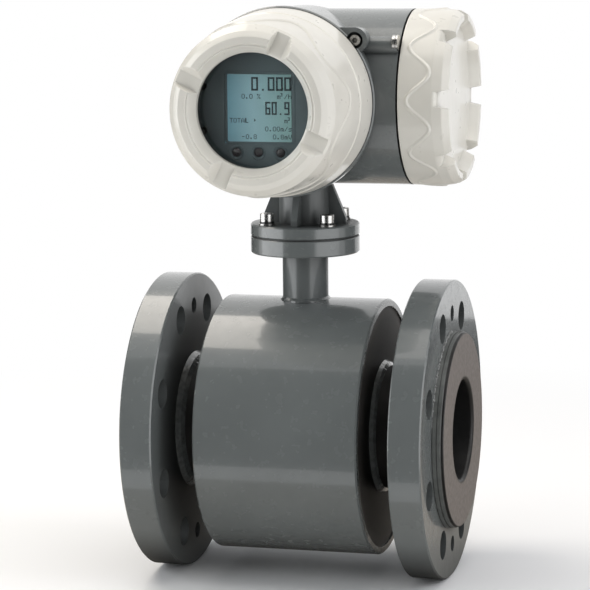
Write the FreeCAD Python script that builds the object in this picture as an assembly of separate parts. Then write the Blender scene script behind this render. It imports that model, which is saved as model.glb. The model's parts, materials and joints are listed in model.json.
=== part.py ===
"""Electromagnetic flow meter, DN65, flanged, with an integral transmitter.

The origin is the centre of the flow bore, +X runs along the flow to the outlet, the display
faces -Y and +Z is up. Lengths are millimetres. Each function makes one sub-part, and each
sub-part is written to its own STEP file.
"""
import FreeCAD, Part
import math
import os

# Flow tube and process connections
FACE_TO_FACE = 200.0            # over the flared liner faces
BORE_R = 30.75                  # lined flow bore
LINER_WALL = 4.4
LINER_FLARE_R = 60.0
LINER_FLARE = 1.5               # thickness of the liner on the sealing face
LINER_LIP = 2.2                 # rounding of the bore mouth
TUBE_WALL = 2.9
FLANGE_R = 92.5
FLANGE_THICKNESS = 20.0
FLANGE_CHAMFER = 0.8
BOLT_CIRCLE_R = 72.5
BOLT_COUNT = 8
BOLT_HOLE_R = 9.0
JACK_HOLE_R = 5.0               # plain holes at the top and the bottom of the bolt circle
LINER_RING_R = 61.0
LINER_RING_THICKNESS = 5.5
LINER_RING_STEP_AT = 2.8        # from the flange face
LINER_RING_STEP = 0.5
WELD_LEG = 5.0
FIT = 0.05                      # radial clearance of assembled inner pieces
BEAD_HOLLOW = 0.62              # height of a bead's middle as a share of its leg
OVERCUT = 1.0                   # how far a cutting tool runs past the face

# Coil casing
SHELL_R = 79.5
SHELL_WALL = 4.5
SHELL_LENGTH = 102.0
SHELL_EDGE = 1.0
END_PLATE_THICKNESS = 4.0
END_PLATE_INSET = 1.0           # behind the edge of the casing
CASING_WELD_LEG = 3.5

# Magnet system and electrodes
YOKE_CLEARANCE = 5.0            # between the yoke and the inside of the casing
YOKE_THICKNESS = 3.0
YOKE_WIDTH = 44.0
POLE_SHOE_THICKNESS = 4.0
POLE_SHOE_HALF_ANGLE = 42.0
POLE_SHOE_LENGTH = 52.0
POLE_CORE_R = 9.0
COIL_OUTER_R = 24.0
COIL_FOOT_GAP = 5.9             # between the pole shoe and the winding
COIL_TOP_GAP = 0.5              # between the winding and the yoke
ELECTRODE_HEAD_R = 6.0
ELECTRODE_HEAD_THICKNESS = 1.6
ELECTRODE_SHAFT_R = 2.5
ELECTRODE_RECESS = 0.7          # the flat head stays outside the round bore
ELECTRODE_LENGTH = 22.0
BUSH_WALL = 2.0
BUSH_COLLAR_R = 8.0
BUSH_COLLAR_THICKNESS = 3.0
ELECTRODE_NUT_FLATS = 10.0
ELECTRODE_NUT_THICKNESS = 4.0

# Neck between the coil casing and the transmitter
NECK_PIPE_R = 14.2
NECK_PIPE_WALL = 2.5
NECK_FLANGE_R = 33.8
NECK_LENGTH = 29.15             # free length of the pipe between casing and neck flange
NECK_FLANGE_THICKNESS = 10.0
NECK_GASKET_THICKNESS = 0.8
NECK_GASKET_INSET = 0.6
NECK_EDGE = 0.8
NECK_WELD_LEG = 1.4
NECK_BOLT_CIRCLE_R = 27.0
NECK_BOLT_COUNT = 4
SCREW_R = 2.5
SCREW_CLEARANCE = 0.25
SCREW_TAP_DEPTH = 8.0
SCREW_END_GAP = 1.0
SCREW_HEAD_R = 4.25
SCREW_HEAD_HEIGHT = 5.0
SCREW_SOCKET_FLATS = 4.0
SCREW_SOCKET_DEPTH = 2.6
HEAD_CHAMFER_SHARE = 0.1        # of a screw head's radius
SPRING_WASHER_R = 4.4
SPRING_WASHER_THICKNESS = 1.3
SPRING_WASHER_SPLIT = 0.8
FLAT_WASHER_R = 5.0
FLAT_WASHER_THICKNESS = 1.0

# Transmitter housing
SCREW_ACCESS = 15.65            # free height between the screw heads and the display compartment
DISPLAY_AXIS_X = 0.6
DISPLAY_BODY_R = 55.5
DISPLAY_RIM_Y = -54.5
DISPLAY_COLLAR_R = 57.2
DISPLAY_COLLAR_WIDTH = 8.5
COLLAR_CHAMFER = 0.8
TERMINAL_BODY_R = 53.5
TERMINAL_RIM_X = 70.0
HOUSING_FLANGE_THICKNESS = 7.5
HOUSING_NECK_R = 16.0
HOUSING_NECK_BORE_R = 11.0
GUSSET_COUNT = 4
GUSSET_THICKNESS = 4.0
GUSSET_FOOT_R = 26.5
GUSSET_FOOT_HEIGHT = 3.5
GUSSET_TOP_R = 17.8
GUSSET_HEIGHT = 24.05
DISPLAY_CAVITY_R = 45.0
DISPLAY_CAVITY_BACK_Y = 22.0
TERMINAL_CAVITY_R = 43.5
TERMINAL_CAVITY_X = 30.0
PARTITION = 4.0
CAVITY_LEDGE = 4.5              # display opening stays round this far behind the terminal bore
SPIGOT_LENGTH = 16.0            # threaded part of each compartment mouth
DISPLAY_SPIGOT_R = 51.0
TERMINAL_SPIGOT_R = 48.5

# Locking lug, locking boss and their screws
LUG_ACROSS = 45.0               # from the display axis to the right
LUG_ABOVE = 37.0                # from the display axis upwards
LUG_R = 7.6
LUG_DEPTH = 9.0
LUG_SETBACK = 0.7               # lug face behind the display rim
LOCK_COUNTERBORE_R = 5.0
LOCK_COUNTERBORE_DEPTH = 4.2
LOCK_HEAD_R = 3.5
LOCK_HEAD_HEIGHT = 3.5
LOCK_SHANK_R = 2.0
LOCK_SHANK_LENGTH = 4.0
LOCK_SOCKET_FLATS = 3.0
LOCK_SOCKET_DEPTH = 1.75
LOCK_END_GAP = 1.0
BOSS_ANGLE = 38.0               # above the front of the terminal body
BOSS_AXIS_R = 54.5
BOSS_R = 5.2
BOSS_START_X = 44.0
BOSS_COUNTERBORE_R = 3.9

# Cable entries at the back of the terminal compartment
ENTRY_X = 50.0
ENTRY_OFFSET_Z = 21.0
ENTRY_BOSS_R = 14.0
ENTRY_PROUD = 2.5               # machined face beyond the ball-shaped back
ENTRY_BORE_R = 10.0
GLAND_CABLE_R = 4.5
GLAND_HEX_FLATS = 24.0
GLAND_HEX_THICKNESS = 6.0
GLAND_THREAD_LENGTH = 9.0
GLAND_BODY_R = 9.0
GLAND_BODY_LENGTH = 11.0
GLAND_SEAL_R = 7.0
GLAND_SEAL_LENGTH = 9.0
GLAND_NUT_FLATS = 22.0
GLAND_NUT_LENGTH = 13.0
GLAND_DOME_R = 12.0
GLAND_DOME_LENGTH = 4.3
GLAND_CROWN_R = 8.0
GLAND_MOUTH_R = 5.5

# Covers: both screw onto the spigots, and a rubber ring sits behind each
COVER_GAP = 1.1                 # open line between housing rim and cover
THREAD_CLEARANCE = 0.3
THREAD_RUN_OUT = 2.6            # cover thread past the end of the closed spigot
SEAL_SECTION_R = 1.25
SEAL_GAP = 0.25
SEAL_POCKET_DEPTH = 3.0
TOOTH_NOTCH_WIDTH = 10.7

DISPLAY_COVER_REAR_R = 56.2
DISPLAY_COVER_STEP_AT = 21.5
DISPLAY_COVER_STEP_R = 54.5
DISPLAY_COVER_STEP = 0.3
DISPLAY_SHOULDER_AT = 62.5
DISPLAY_SHOULDER_R = 49.7
DISPLAY_BEVEL_AT = 66.8
DISPLAY_BEVEL_R = 46.0
DISPLAY_TOP_AT = 69.3
DISPLAY_TOP_OUTER_R = 42.8
DISPLAY_TOP_INNER_R = 37.4
WINDOW_AT = 63.2
WINDOW_R = 33.3
WINDOW_WALL = 3.5
DISPLAY_NOTCH_FLOOR_AT = 63.8
DISPLAY_NOTCH_COUNT = 4
DISPLAY_NOTCH_ANGLE = 64.0
DISPLAY_COVER_WALL = 4.5
GLASS_R = 38.0
GLASS_THICKNESS = 6.0
GLASS_GASKET_THICKNESS = 0.8
GLASS_SIDE_CLEARANCE = 0.4
RETAINER_R = 41.0
RETAINER_BORE_R = 35.5
RETAINER_THICKNESS = 3.2
RETAINER_SLOT_WIDTH = 4.0
RETAINER_SLOT_DEPTH = 1.6

TERMINAL_COVER_R = 53.5
TERMINAL_SHOULDER_AT = 19.9
TERMINAL_SHOULDER_R = 53.3
TERMINAL_BEVEL_AT = 25.4
TERMINAL_BEVEL_R = 51.0
TERMINAL_TOP_AT = 30.4
TERMINAL_TOP_OUTER_R = 47.0
TERMINAL_TOP_INNER_R = 39.5
TERMINAL_FLOOR_AT = 23.9
TERMINAL_NOTCH_COUNT = 8
TERMINAL_INSIDE_AT = 18.0
TERMINAL_INSIDE_R = 44.5

# Raised wavy line round each cover
WAVE_WIDTH = 3.0                # at its buried foot
WAVE_SUNK = 0.5
WAVE_PROUD = 0.5
WAVE_POINTS = 10                # sections in each wave
WAVE_SLOPE_STEP = 0.5           # degrees to each side, for the direction of the line
DISPLAY_WAVE_AT = 46.5
DISPLAY_WAVE_SWING = 9.3
DISPLAY_WAVE_COUNT = 6
DISPLAY_WAVE_ANGLE = 7.5
TERMINAL_WAVE_AT = 12.7
TERMINAL_WAVE_SWING = 6.0
TERMINAL_WAVE_COUNT = 10
TERMINAL_WAVE_ANGLE = -2.8

# Display unit
PANEL_BEHIND_WINDOW = 15.6
PANEL_R = 44.5
PANEL_THICKNESS = 2.0
LCD_SIZE = 40.0
LCD_CLEARANCE = 0.2
LCD_BASE_SIZE = 46.0
LCD_BASE_LIP = 2.0              # base above and below the screen
LCD_BASE_THICKNESS = 3.0
KEY_DROP = 25.9                 # below the display axis
KEY_SPACING = 13.3
KEY_COUNT = 3
KEY_R = 2.7
KEY_DIMPLE_R = 4.1
KEY_DIMPLE_DEPTH = 0.9
KEY_PROUD = 0.5                 # lens above the dimple floor
PANEL_SCREW_X = 33.0
PANEL_SCREW_Z = 13.0
PANEL_SCREW_HEAD_R = 2.4
PANEL_SCREW_HEAD = 1.2
PANEL_SCREW_SHANK_R = 1.2
BOARD_R = 41.0
BOARD_THICKNESS = 1.6
BOARD_FLAT_CLEARANCE = 2.0      # between a board's flat and the partition
STANDOFF_FLATS = 6.0
STANDOFF_CIRCLE_R = 36.0
STANDOFF_ANGLES = (90.0, 180.0, 285.0)
MAIN_BOARD_Y = -60.0
POWER_BOARD_Y = -8.0
CONNECTOR_SIZE = 12.0
CONNECTOR_HEIGHT = 9.0
CONNECTOR_ABOVE_CAVITY = 8.0
HARNESS_R = 3.5
HARNESS_FOOT_CLEARANCE = 0.3
TRANSFORMER_SIZE = (26.0, 20.0, 30.0)
TRANSFORMER_RAISE = 12.0
TRANSFORMER_CHAMFER = 1.5

# Terminal compartment
TERMINAL_PLATE_R = 41.0
TERMINAL_PLATE_THICKNESS = 3.0
TERMINAL_BLOCK_SIZE = (16.0, 22.0, 56.0)
TERMINAL_WAYS = 6
TERMINAL_WAY_PITCH = 9.0
TERMINAL_WAY_WALL = 1.8
TERMINAL_SCREW_HEAD_R = 2.6
TERMINAL_SCREW_HEAD = 1.6
TERMINAL_SCREW_SHANK_R = 1.4
TERMINAL_SCREW_SHANK = 6.0
BUSHING_R = 6.0
BUSHING_HEAD_R = 8.0
BUSHING_HEAD = 1.5
BUSHING_OFFSET_Z = -32.0

# Worked out from the sizes above
FLANGE_FACE_X = FACE_TO_FACE / 2 - LINER_FLARE - LINER_RING_THICKNESS
FLANGE_BACK_X = FLANGE_FACE_X - FLANGE_THICKNESS
SHELL_END_X = SHELL_LENGTH / 2
END_PLATE_X = SHELL_END_X - END_PLATE_INSET
YOKE_OUTER_R = SHELL_R - SHELL_WALL - YOKE_CLEARANCE
LINER_R = BORE_R + LINER_WALL
TUBE_INNER_R = LINER_R + FIT
TUBE_R = TUBE_INNER_R + TUBE_WALL
NECK_FLANGE_BOTTOM = SHELL_R + NECK_LENGTH
NECK_GASKET_Z = NECK_FLANGE_BOTTOM + NECK_FLANGE_THICKNESS
HOUSING_FLANGE_Z = NECK_GASKET_Z + NECK_GASKET_THICKNESS
HOUSING_NECK_Z = HOUSING_FLANGE_Z + HOUSING_FLANGE_THICKNESS
GUSSET_TOP_Z = HOUSING_NECK_Z + GUSSET_HEIGHT
SCREW_SEAT_Z = HOUSING_NECK_Z + FLAT_WASHER_THICKNESS + SPRING_WASHER_THICKNESS
HEAD_Z = SCREW_SEAT_Z + SCREW_HEAD_HEIGHT + SCREW_ACCESS + DISPLAY_BODY_R
DISPLAY_COVER_Y = DISPLAY_RIM_Y - COVER_GAP
TERMINAL_COVER_X = TERMINAL_RIM_X + COVER_GAP
COVER_THREAD_END = SPIGOT_LENGTH - COVER_GAP + THREAD_RUN_OUT
GLASS_SEAT_AT = WINDOW_AT - WINDOW_WALL
GLASS_FRONT_AT = GLASS_SEAT_AT - GLASS_GASKET_THICKNESS
GLASS_BACK_AT = GLASS_FRONT_AT - GLASS_THICKNESS
RETAINER_BACK_AT = GLASS_BACK_AT - RETAINER_THICKNESS
PANEL_Y = DISPLAY_COVER_Y - WINDOW_AT + PANEL_BEHIND_WINDOW
LCD_BASE_Y = PANEL_Y + PANEL_THICKNESS
DISPLAY_BOARD_Y = LCD_BASE_Y + LCD_BASE_THICKNESS
BOARD_FLAT_X = TERMINAL_CAVITY_X - PARTITION - BOARD_FLAT_CLEARANCE
CONNECTOR_Z = HEAD_Z - DISPLAY_CAVITY_R + CONNECTOR_ABOVE_CAVITY
ENTRY_FACE_Y = DISPLAY_BODY_R + ENTRY_PROUD

X_AXIS = FreeCAD.Vector(1, 0, 0)
Y_AXIS = FreeCAD.Vector(0, 1, 0)
Z_AXIS = FreeCAD.Vector(0, 0, 1)
ORIGIN = FreeCAD.Vector(0, 0, 0)


def placement(origin, across, up):
    """Local frame whose Z is across x up; angles are measured from across towards up."""
    rotation = FreeCAD.Rotation(across, up, across.cross(up), "ZXY")
    return FreeCAD.Placement(origin, rotation)


FLOW = placement(ORIGIN, Y_AXIS, Z_AXIS)
DISPLAY = placement(FreeCAD.Vector(DISPLAY_AXIS_X, DISPLAY_COVER_Y, HEAD_Z), X_AXIS, Z_AXIS)
TERMINAL = placement(FreeCAD.Vector(TERMINAL_COVER_X, 0, HEAD_Z), Y_AXIS, Z_AXIS)
UPRIGHT = placement(ORIGIN, X_AXIS, Y_AXIS)


def placed(shape, frame):
    """The shape, made in a local frame, moved into the part's frame."""
    moved = shape.copy()
    moved.Placement = frame.multiply(shape.Placement)
    return moved


def turned(points, frame=UPRIGHT):
    """Solid of revolution round the frame's Z from a closed outline of (along, radius)."""
    corners = [FreeCAD.Vector(radius, 0, along) for along, radius in points]
    face = Part.Face(Part.makePolygon(corners + corners[:1]))
    return placed(face.revolve(ORIGIN, Z_AXIS, 360), frame)


def cylinder(radius, start, end, frame=UPRIGHT, x=0.0, y=0.0):
    """Solid cylinder along the frame's Z, from start to end."""
    base = FreeCAD.Vector(x, y, start)
    return placed(Part.makeCylinder(radius, end - start, base, Z_AXIS), frame)


def ring(outer, inner, start, end, frame=UPRIGHT):
    return turned([(start, inner), (start, outer), (end, outer), (end, inner)], frame)


def block(low, high, frame=UPRIGHT):
    """Box between two corners of the frame."""
    size = [high[i] - low[i] for i in range(3)]
    return placed(Part.makeBox(size[0], size[1], size[2], FreeCAD.Vector(*low)), frame)


def hexagon(flats, start, end, frame=UPRIGHT, x=0.0, y=0.0):
    """Hexagonal bar along the frame's Z, from start to end."""
    corner_r = flats / math.sqrt(3)
    corners = []
    for step in range(6):
        angle = math.radians(60 * step)
        corner = FreeCAD.Vector(x + corner_r * math.cos(angle), y + corner_r * math.sin(angle), start)
        corners.append(corner)
    face = Part.Face(Part.makePolygon(corners + corners[:1]))
    return placed(face.extrude(Z_AXIS * (end - start)), frame)


def on_circle(radius, degrees):
    angle = math.radians(degrees)
    return radius * math.cos(angle), radius * math.sin(angle)


def turned_about(shape, frame, degrees):
    """A copy of the shape turned about the frame's Z."""
    copy = shape.copy()
    copy.rotate(frame.Base, frame.Rotation.multVec(Z_AXIS), degrees)
    return copy


def group(solids):
    return Part.makeCompound(solids)


# --- flow tube ---------------------------------------------------------------------------

def measuring_tube():
    tube = ring(TUBE_R, TUBE_INNER_R, -FLANGE_FACE_X, FLANGE_FACE_X, FLOW)
    return tube.cut(electrode_passage(ELECTRODE_SHAFT_R + BUSH_WALL + FIT))


def electrode_passage(radius):
    """Straight hole through both side walls of the tube."""
    reach = TUBE_R + OVERCUT
    return Part.makeCylinder(radius, 2 * reach, FreeCAD.Vector(0, -reach, 0), Y_AXIS)


def tube_liner():
    face_x = FACE_TO_FACE / 2
    ring_x = face_x - LINER_FLARE
    lip_r = BORE_R + LINER_LIP
    edge = LINER_FLARE / 3
    outer = [(-ring_x, LINER_R), (-ring_x, LINER_FLARE_R), (-face_x + edge, LINER_FLARE_R)]
    outer += [(-face_x, LINER_FLARE_R - edge), (-face_x, lip_r)]
    inner = [FreeCAD.Vector(r, 0, a) for a, r in outer]
    mirror = [FreeCAD.Vector(v.x, 0, -v.z) for v in reversed(inner)]
    bend = LINER_LIP * (1 - math.sqrt(0.5))
    mouth_near = FreeCAD.Vector(BORE_R + bend, 0, -face_x + bend)
    mouth_far = FreeCAD.Vector(BORE_R + bend, 0, face_x - bend)
    bore_near = FreeCAD.Vector(BORE_R, 0, -face_x + LINER_LIP)
    bore_far = FreeCAD.Vector(BORE_R, 0, face_x - LINER_LIP)
    edges = list(Part.makePolygon(inner).Edges)
    edges.append(Part.Arc(inner[-1], mouth_near, bore_near).toShape())
    edges.append(Part.makeLine(bore_near, bore_far))
    edges.append(Part.Arc(bore_far, mouth_far, mirror[0]).toShape())
    edges += Part.makePolygon(mirror).Edges
    edges.append(Part.makeLine(mirror[-1], inner[0]))
    face = Part.Face(Part.Wire(Part.__sortEdges__(edges)))
    liner = placed(face.revolve(ORIGIN, Z_AXIS, 360), FLOW)
    for side in (-1, 1):
        seat = BORE_R + ELECTRODE_RECESS + ELECTRODE_HEAD_THICKNESS
        liner = liner.cut(cylinder(ELECTRODE_HEAD_R + FIT, 0, seat, electrode_frame(side)))
    return liner.cut(electrode_passage(ELECTRODE_SHAFT_R + FIT))


def flange(side):
    """Bolted process flange; side is -1 at the inlet and 1 at the outlet."""
    back = FLANGE_BACK_X
    face = FLANGE_FACE_X
    rim = FLANGE_R - FLANGE_CHAMFER
    hole = TUBE_R + FIT
    points = [(back, hole), (back, rim), (back + FLANGE_CHAMFER, FLANGE_R)]
    points += [(face - FLANGE_CHAMFER, FLANGE_R), (face, rim), (face, hole)]
    disc = turned(points, FLOW)
    for index in range(BOLT_COUNT):
        y, z = on_circle(BOLT_CIRCLE_R, (index + 0.5) * 360 / BOLT_COUNT)
        disc = disc.cut(cylinder(BOLT_HOLE_R, back - OVERCUT, face + OVERCUT, FLOW, y, z))
    for z in (-BOLT_CIRCLE_R, BOLT_CIRCLE_R):
        disc = disc.cut(cylinder(JACK_HOLE_R, back - OVERCUT, face + OVERCUT, FLOW, 0, z))
    return mirrored(disc, side)


def mirrored(shape, side):
    """The shape as made on the outlet side, or mirrored to the inlet side."""
    if side > 0:
        return shape
    return shape.mirror(ORIGIN, X_AXIS)


def liner_ring(side):
    """Stepped steel ring behind the flared liner."""
    start = FLANGE_FACE_X
    end = start + LINER_RING_THICKNESS
    step_at = start + LINER_RING_STEP_AT
    front_r = LINER_RING_R - LINER_RING_STEP
    inner = LINER_R + FIT
    points = [(start, inner), (start, LINER_RING_R), (step_at, LINER_RING_R), (step_at, front_r)]
    points += [(end - front_r + LINER_FLARE_R, front_r), (end, LINER_FLARE_R), (end, inner)]
    return mirrored(turned(points, FLOW), side)


# --- coil casing -------------------------------------------------------------------------

def coil_shell():
    end = SHELL_END_X
    inner = SHELL_R - SHELL_WALL
    rim = SHELL_R - SHELL_EDGE
    points = [(-end, inner), (-end, rim), (-end + SHELL_EDGE, SHELL_R)]
    points += [(end - SHELL_EDGE, SHELL_R), (end, rim), (end, inner)]
    shell = turned(points, FLOW)
    return shell.cut(cylinder(NECK_PIPE_R + FIT, 0, SHELL_R + OVERCUT))


def end_plate(side):
    start = END_PLATE_X - END_PLATE_THICKNESS
    plate = ring(SHELL_R - SHELL_WALL - FIT, TUBE_R + FIT, start, END_PLATE_X, FLOW)
    return mirrored(plate, side)


def fillet_bead(start, radius, leg, direction, frame):
    """Welded corner bead: leg along the tube from start, the same leg up the plate."""
    hollow = leg * BEAD_HOLLOW
    points = [(start, radius), (start, radius + leg)]
    points += [(start + direction * hollow, radius + hollow), (start + direction * leg, radius)]
    return turned(points, frame)


def weld_beads():
    """Beads of the flanges, the casing ends and the neck."""
    beads = []
    tube = TUBE_R + FIT
    for side in (-1, 1):
        beads.append(mirrored(fillet_bead(FLANGE_BACK_X, tube, WELD_LEG, -1, FLOW), side))
        beads.append(mirrored(fillet_bead(END_PLATE_X, tube, CASING_WELD_LEG, 1, FLOW), side))
    pipe = NECK_PIPE_R + FIT
    beads.append(fillet_bead(NECK_FLANGE_BOTTOM, pipe, NECK_WELD_LEG, -1, UPRIGHT))
    foot = [(0, pipe), (0, pipe + 2 * NECK_WELD_LEG), (SHELL_R, pipe + NECK_WELD_LEG)]
    foot.append((SHELL_R + NECK_WELD_LEG, pipe))
    shell = cylinder(SHELL_R + FIT, -SHELL_END_X, SHELL_END_X, FLOW)
    beads.append(turned(foot).cut(shell))
    return group(beads)


# --- magnet system and electrodes -------------------------------------------------------------

def magnet_yoke():
    """Closed steel band that carries the flux from pole to pole."""
    half = YOKE_WIDTH / 2
    return ring(YOKE_OUTER_R, YOKE_OUTER_R - YOKE_THICKNESS, -half, half, FLOW)


def pole_piece(side):
    """Shoe that hugs the tube, with the core that passes through the coil up to the yoke."""
    inner = TUBE_R + FIT
    outer = inner + POLE_SHOE_THICKNESS
    half = POLE_SHOE_LENGTH / 2
    shoe = ring(outer, inner, -half, half, FLOW)
    reach_y, reach_z = on_circle(2 * outer, 90 - POLE_SHOE_HALF_ANGLE)
    corners = [ORIGIN, FreeCAD.Vector(0, reach_y, reach_z), FreeCAD.Vector(0, -reach_y, reach_z)]
    sector = Part.Face(Part.makePolygon(corners + corners[:1])).extrude(X_AXIS * POLE_SHOE_LENGTH)
    sector.translate(X_AXIS * -half)
    core = cylinder(POLE_CORE_R, inner + POLE_SHOE_THICKNESS / 2, YOKE_OUTER_R - YOKE_THICKNESS / 2)
    band = cylinder(YOKE_OUTER_R - YOKE_THICKNESS - FIT, -half, half, FLOW)
    piece = shoe.common(sector).fuse(core.common(band)).removeSplitter()
    return flipped(piece, side)


def flipped(shape, side):
    """The shape as made above the flow axis, or turned to the underside."""
    if side > 0:
        return shape
    return shape.mirror(ORIGIN, Z_AXIS)


def coil(side):
    """Round excitation winding on the pole core, just under the yoke."""
    bottom = TUBE_R + FIT + POLE_SHOE_THICKNESS + COIL_FOOT_GAP
    top = math.sqrt((YOKE_OUTER_R - YOKE_THICKNESS) ** 2 - COIL_OUTER_R ** 2) - COIL_TOP_GAP
    winding = ring(COIL_OUTER_R, POLE_CORE_R + FIT, bottom, top)
    return flipped(winding, side)


def electrode_frame(side):
    return placement(ORIGIN, X_AXIS, Z_AXIS * (-side))


def signal_electrodes():
    """Flat-headed pins in the side walls, square to the magnetic field."""
    pins = []
    head_at = BORE_R + ELECTRODE_RECESS
    seat_at = head_at + ELECTRODE_HEAD_THICKNESS
    for side in (-1, 1):
        frame = electrode_frame(side)
        head = cylinder(ELECTRODE_HEAD_R, head_at, seat_at, frame)
        shaft = cylinder(ELECTRODE_SHAFT_R, seat_at, head_at + ELECTRODE_LENGTH, frame)
        pins.append(head.fuse(shaft))
    return group(pins)


def bush_outer_at():
    return TUBE_R + FIT + BUSH_COLLAR_THICKNESS


def electrode_bushes():
    """Insulating sleeves between the electrode shafts and the steel tube."""
    bushes = []
    sleeve_r = ELECTRODE_SHAFT_R + BUSH_WALL
    bore = ELECTRODE_SHAFT_R + FIT
    start = LINER_R + FIT
    for side in (-1, 1):
        frame = electrode_frame(side)
        sleeve = ring(sleeve_r, bore, start, TUBE_R + FIT, frame)
        collar = ring(BUSH_COLLAR_R, bore, TUBE_R + FIT, bush_outer_at(), frame)
        bushes.append(sleeve.fuse(collar))
    return group(bushes)


def electrode_nuts():
    nuts = []
    for side in (-1, 1):
        frame = electrode_frame(side)
        end = bush_outer_at() + ELECTRODE_NUT_THICKNESS
        nut = hexagon(ELECTRODE_NUT_FLATS, bush_outer_at(), end, frame)
        nuts.append(nut.cut(cylinder(ELECTRODE_SHAFT_R + FIT, bush_outer_at(), end, frame)))
    return group(nuts)


# --- neck --------------------------------------------------------------------------------

def neck_pipe():
    start = SHELL_R - SHELL_WALL
    end = NECK_FLANGE_BOTTOM + NECK_FLANGE_THICKNESS
    return ring(NECK_PIPE_R, NECK_PIPE_R - NECK_PIPE_WALL, start, end)


def neck_screw_places():
    places = []
    for index in range(NECK_BOLT_COUNT):
        places.append(on_circle(NECK_BOLT_CIRCLE_R, (index + 0.5) * 360 / NECK_BOLT_COUNT))
    return places


def neck_screw_hole(x, y, start, end):
    """Clearance hole of one neck screw through a plate."""
    return cylinder(SCREW_R + SCREW_CLEARANCE, start - OVERCUT, end + OVERCUT, UPRIGHT, x, y)


def neck_flange():
    bottom = NECK_FLANGE_BOTTOM
    top = bottom + NECK_FLANGE_THICKNESS
    hole = NECK_PIPE_R + FIT
    rim = NECK_FLANGE_R - NECK_EDGE
    points = [(bottom, hole), (bottom, rim), (bottom + NECK_EDGE, NECK_FLANGE_R)]
    points += [(top - NECK_EDGE / 2, NECK_FLANGE_R), (top, NECK_FLANGE_R - NECK_EDGE / 2), (top, hole)]
    disc = turned(points)
    for x, y in neck_screw_places():
        disc = disc.cut(cylinder(SCREW_R + FIT, top - SCREW_TAP_DEPTH, top + OVERCUT, UPRIGHT, x, y))
    return disc


def neck_gasket():
    outer = NECK_FLANGE_R - NECK_GASKET_INSET
    sheet = ring(outer, NECK_PIPE_R, NECK_GASKET_Z, HOUSING_FLANGE_Z)
    for x, y in neck_screw_places():
        sheet = sheet.cut(neck_screw_hole(x, y, NECK_GASKET_Z, HOUSING_FLANGE_Z))
    return sheet


def socket_screw(head_r, head_height, shank_r, shank, flats, depth):
    """Socket cap screw along Z with its head's underside at zero."""
    edge = head_r * HEAD_CHAMFER_SHARE
    points = [(0, 0), (0, head_r), (head_height - edge, head_r), (head_height, head_r - edge)]
    points += [(head_height, 0)]
    body = turned(points).fuse(cylinder(shank_r, -shank, 0))
    return body.cut(hexagon(flats, head_height - depth, head_height + 1))


def clamp_screws():
    """Four socket screws, heads up, that hold the transmitter on the neck."""
    shank = SCREW_SEAT_Z - NECK_GASKET_Z + SCREW_TAP_DEPTH - SCREW_END_GAP
    screws = []
    for x, y in neck_screw_places():
        screw = socket_screw(SCREW_HEAD_R, SCREW_HEAD_HEIGHT, SCREW_R, shank, SCREW_SOCKET_FLATS,
                             SCREW_SOCKET_DEPTH)
        screw.translate(FreeCAD.Vector(x, y, SCREW_SEAT_Z))
        screws.append(screw)
    return group(screws)


def spring_washers():
    washers = []
    start = HOUSING_NECK_Z + FLAT_WASHER_THICKNESS
    for x, y in neck_screw_places():
        washer = ring(SPRING_WASHER_R, SCREW_R + SCREW_CLEARANCE, start, SCREW_SEAT_Z)
        half = SPRING_WASHER_SPLIT / 2
        split = block((0, -half, start), (SPRING_WASHER_R, half, SCREW_SEAT_Z))
        washer = washer.cut(split)
        washer.rotate(ORIGIN, Z_AXIS, math.degrees(math.atan2(y, x)))
        washer.translate(FreeCAD.Vector(x, y, 0))
        washers.append(washer)
    return group(washers)


def flat_washers():
    washers = []
    for x, y in neck_screw_places():
        washer = ring(FLAT_WASHER_R, SCREW_R + SCREW_CLEARANCE, HOUSING_NECK_Z,
                      HOUSING_NECK_Z + FLAT_WASHER_THICKNESS)
        washer.translate(FreeCAD.Vector(x, y, 0))
        washers.append(washer)
    return group(washers)


# --- transmitter housing -------------------------------------------------------------------------

def housing_outside():
    """Two crossing round compartments with a ball-shaped back, before the cavities are cut."""
    display_start = -COVER_GAP
    centre_at = DISPLAY_COVER_Y
    body = cylinder(DISPLAY_BODY_R, centre_at, display_start, DISPLAY)
    ball = Part.makeSphere(DISPLAY_BODY_R, FreeCAD.Vector(DISPLAY_AXIS_X, 0, HEAD_Z))
    collar_back = display_start - DISPLAY_COLLAR_WIDTH
    rim = DISPLAY_COLLAR_R - COLLAR_CHAMFER
    points = [(collar_back, 0), (collar_back, rim), (collar_back + COLLAR_CHAMFER, DISPLAY_COLLAR_R)]
    points += [(display_start - COLLAR_CHAMFER, DISPLAY_COLLAR_R), (display_start, rim), (display_start, 0)]
    collar = turned(points, DISPLAY)
    arm = cylinder(TERMINAL_BODY_R, DISPLAY_AXIS_X - TERMINAL_COVER_X, -COVER_GAP, TERMINAL)
    outside = body.fuse([ball, collar, arm, locking_lug(), locking_boss()])
    outside = outside.fuse([spigot(DISPLAY, DISPLAY_SPIGOT_R), spigot(TERMINAL, TERMINAL_SPIGOT_R)])
    return outside.fuse(entry_bosses() + [housing_neck()])


def spigot(frame, radius):
    """Round neck of a compartment that carries the cover's thread."""
    return cylinder(radius, -COVER_GAP - OVERCUT, SPIGOT_LENGTH - COVER_GAP, frame)


def lug_place():
    return LUG_ACROSS, LUG_ABOVE


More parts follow.
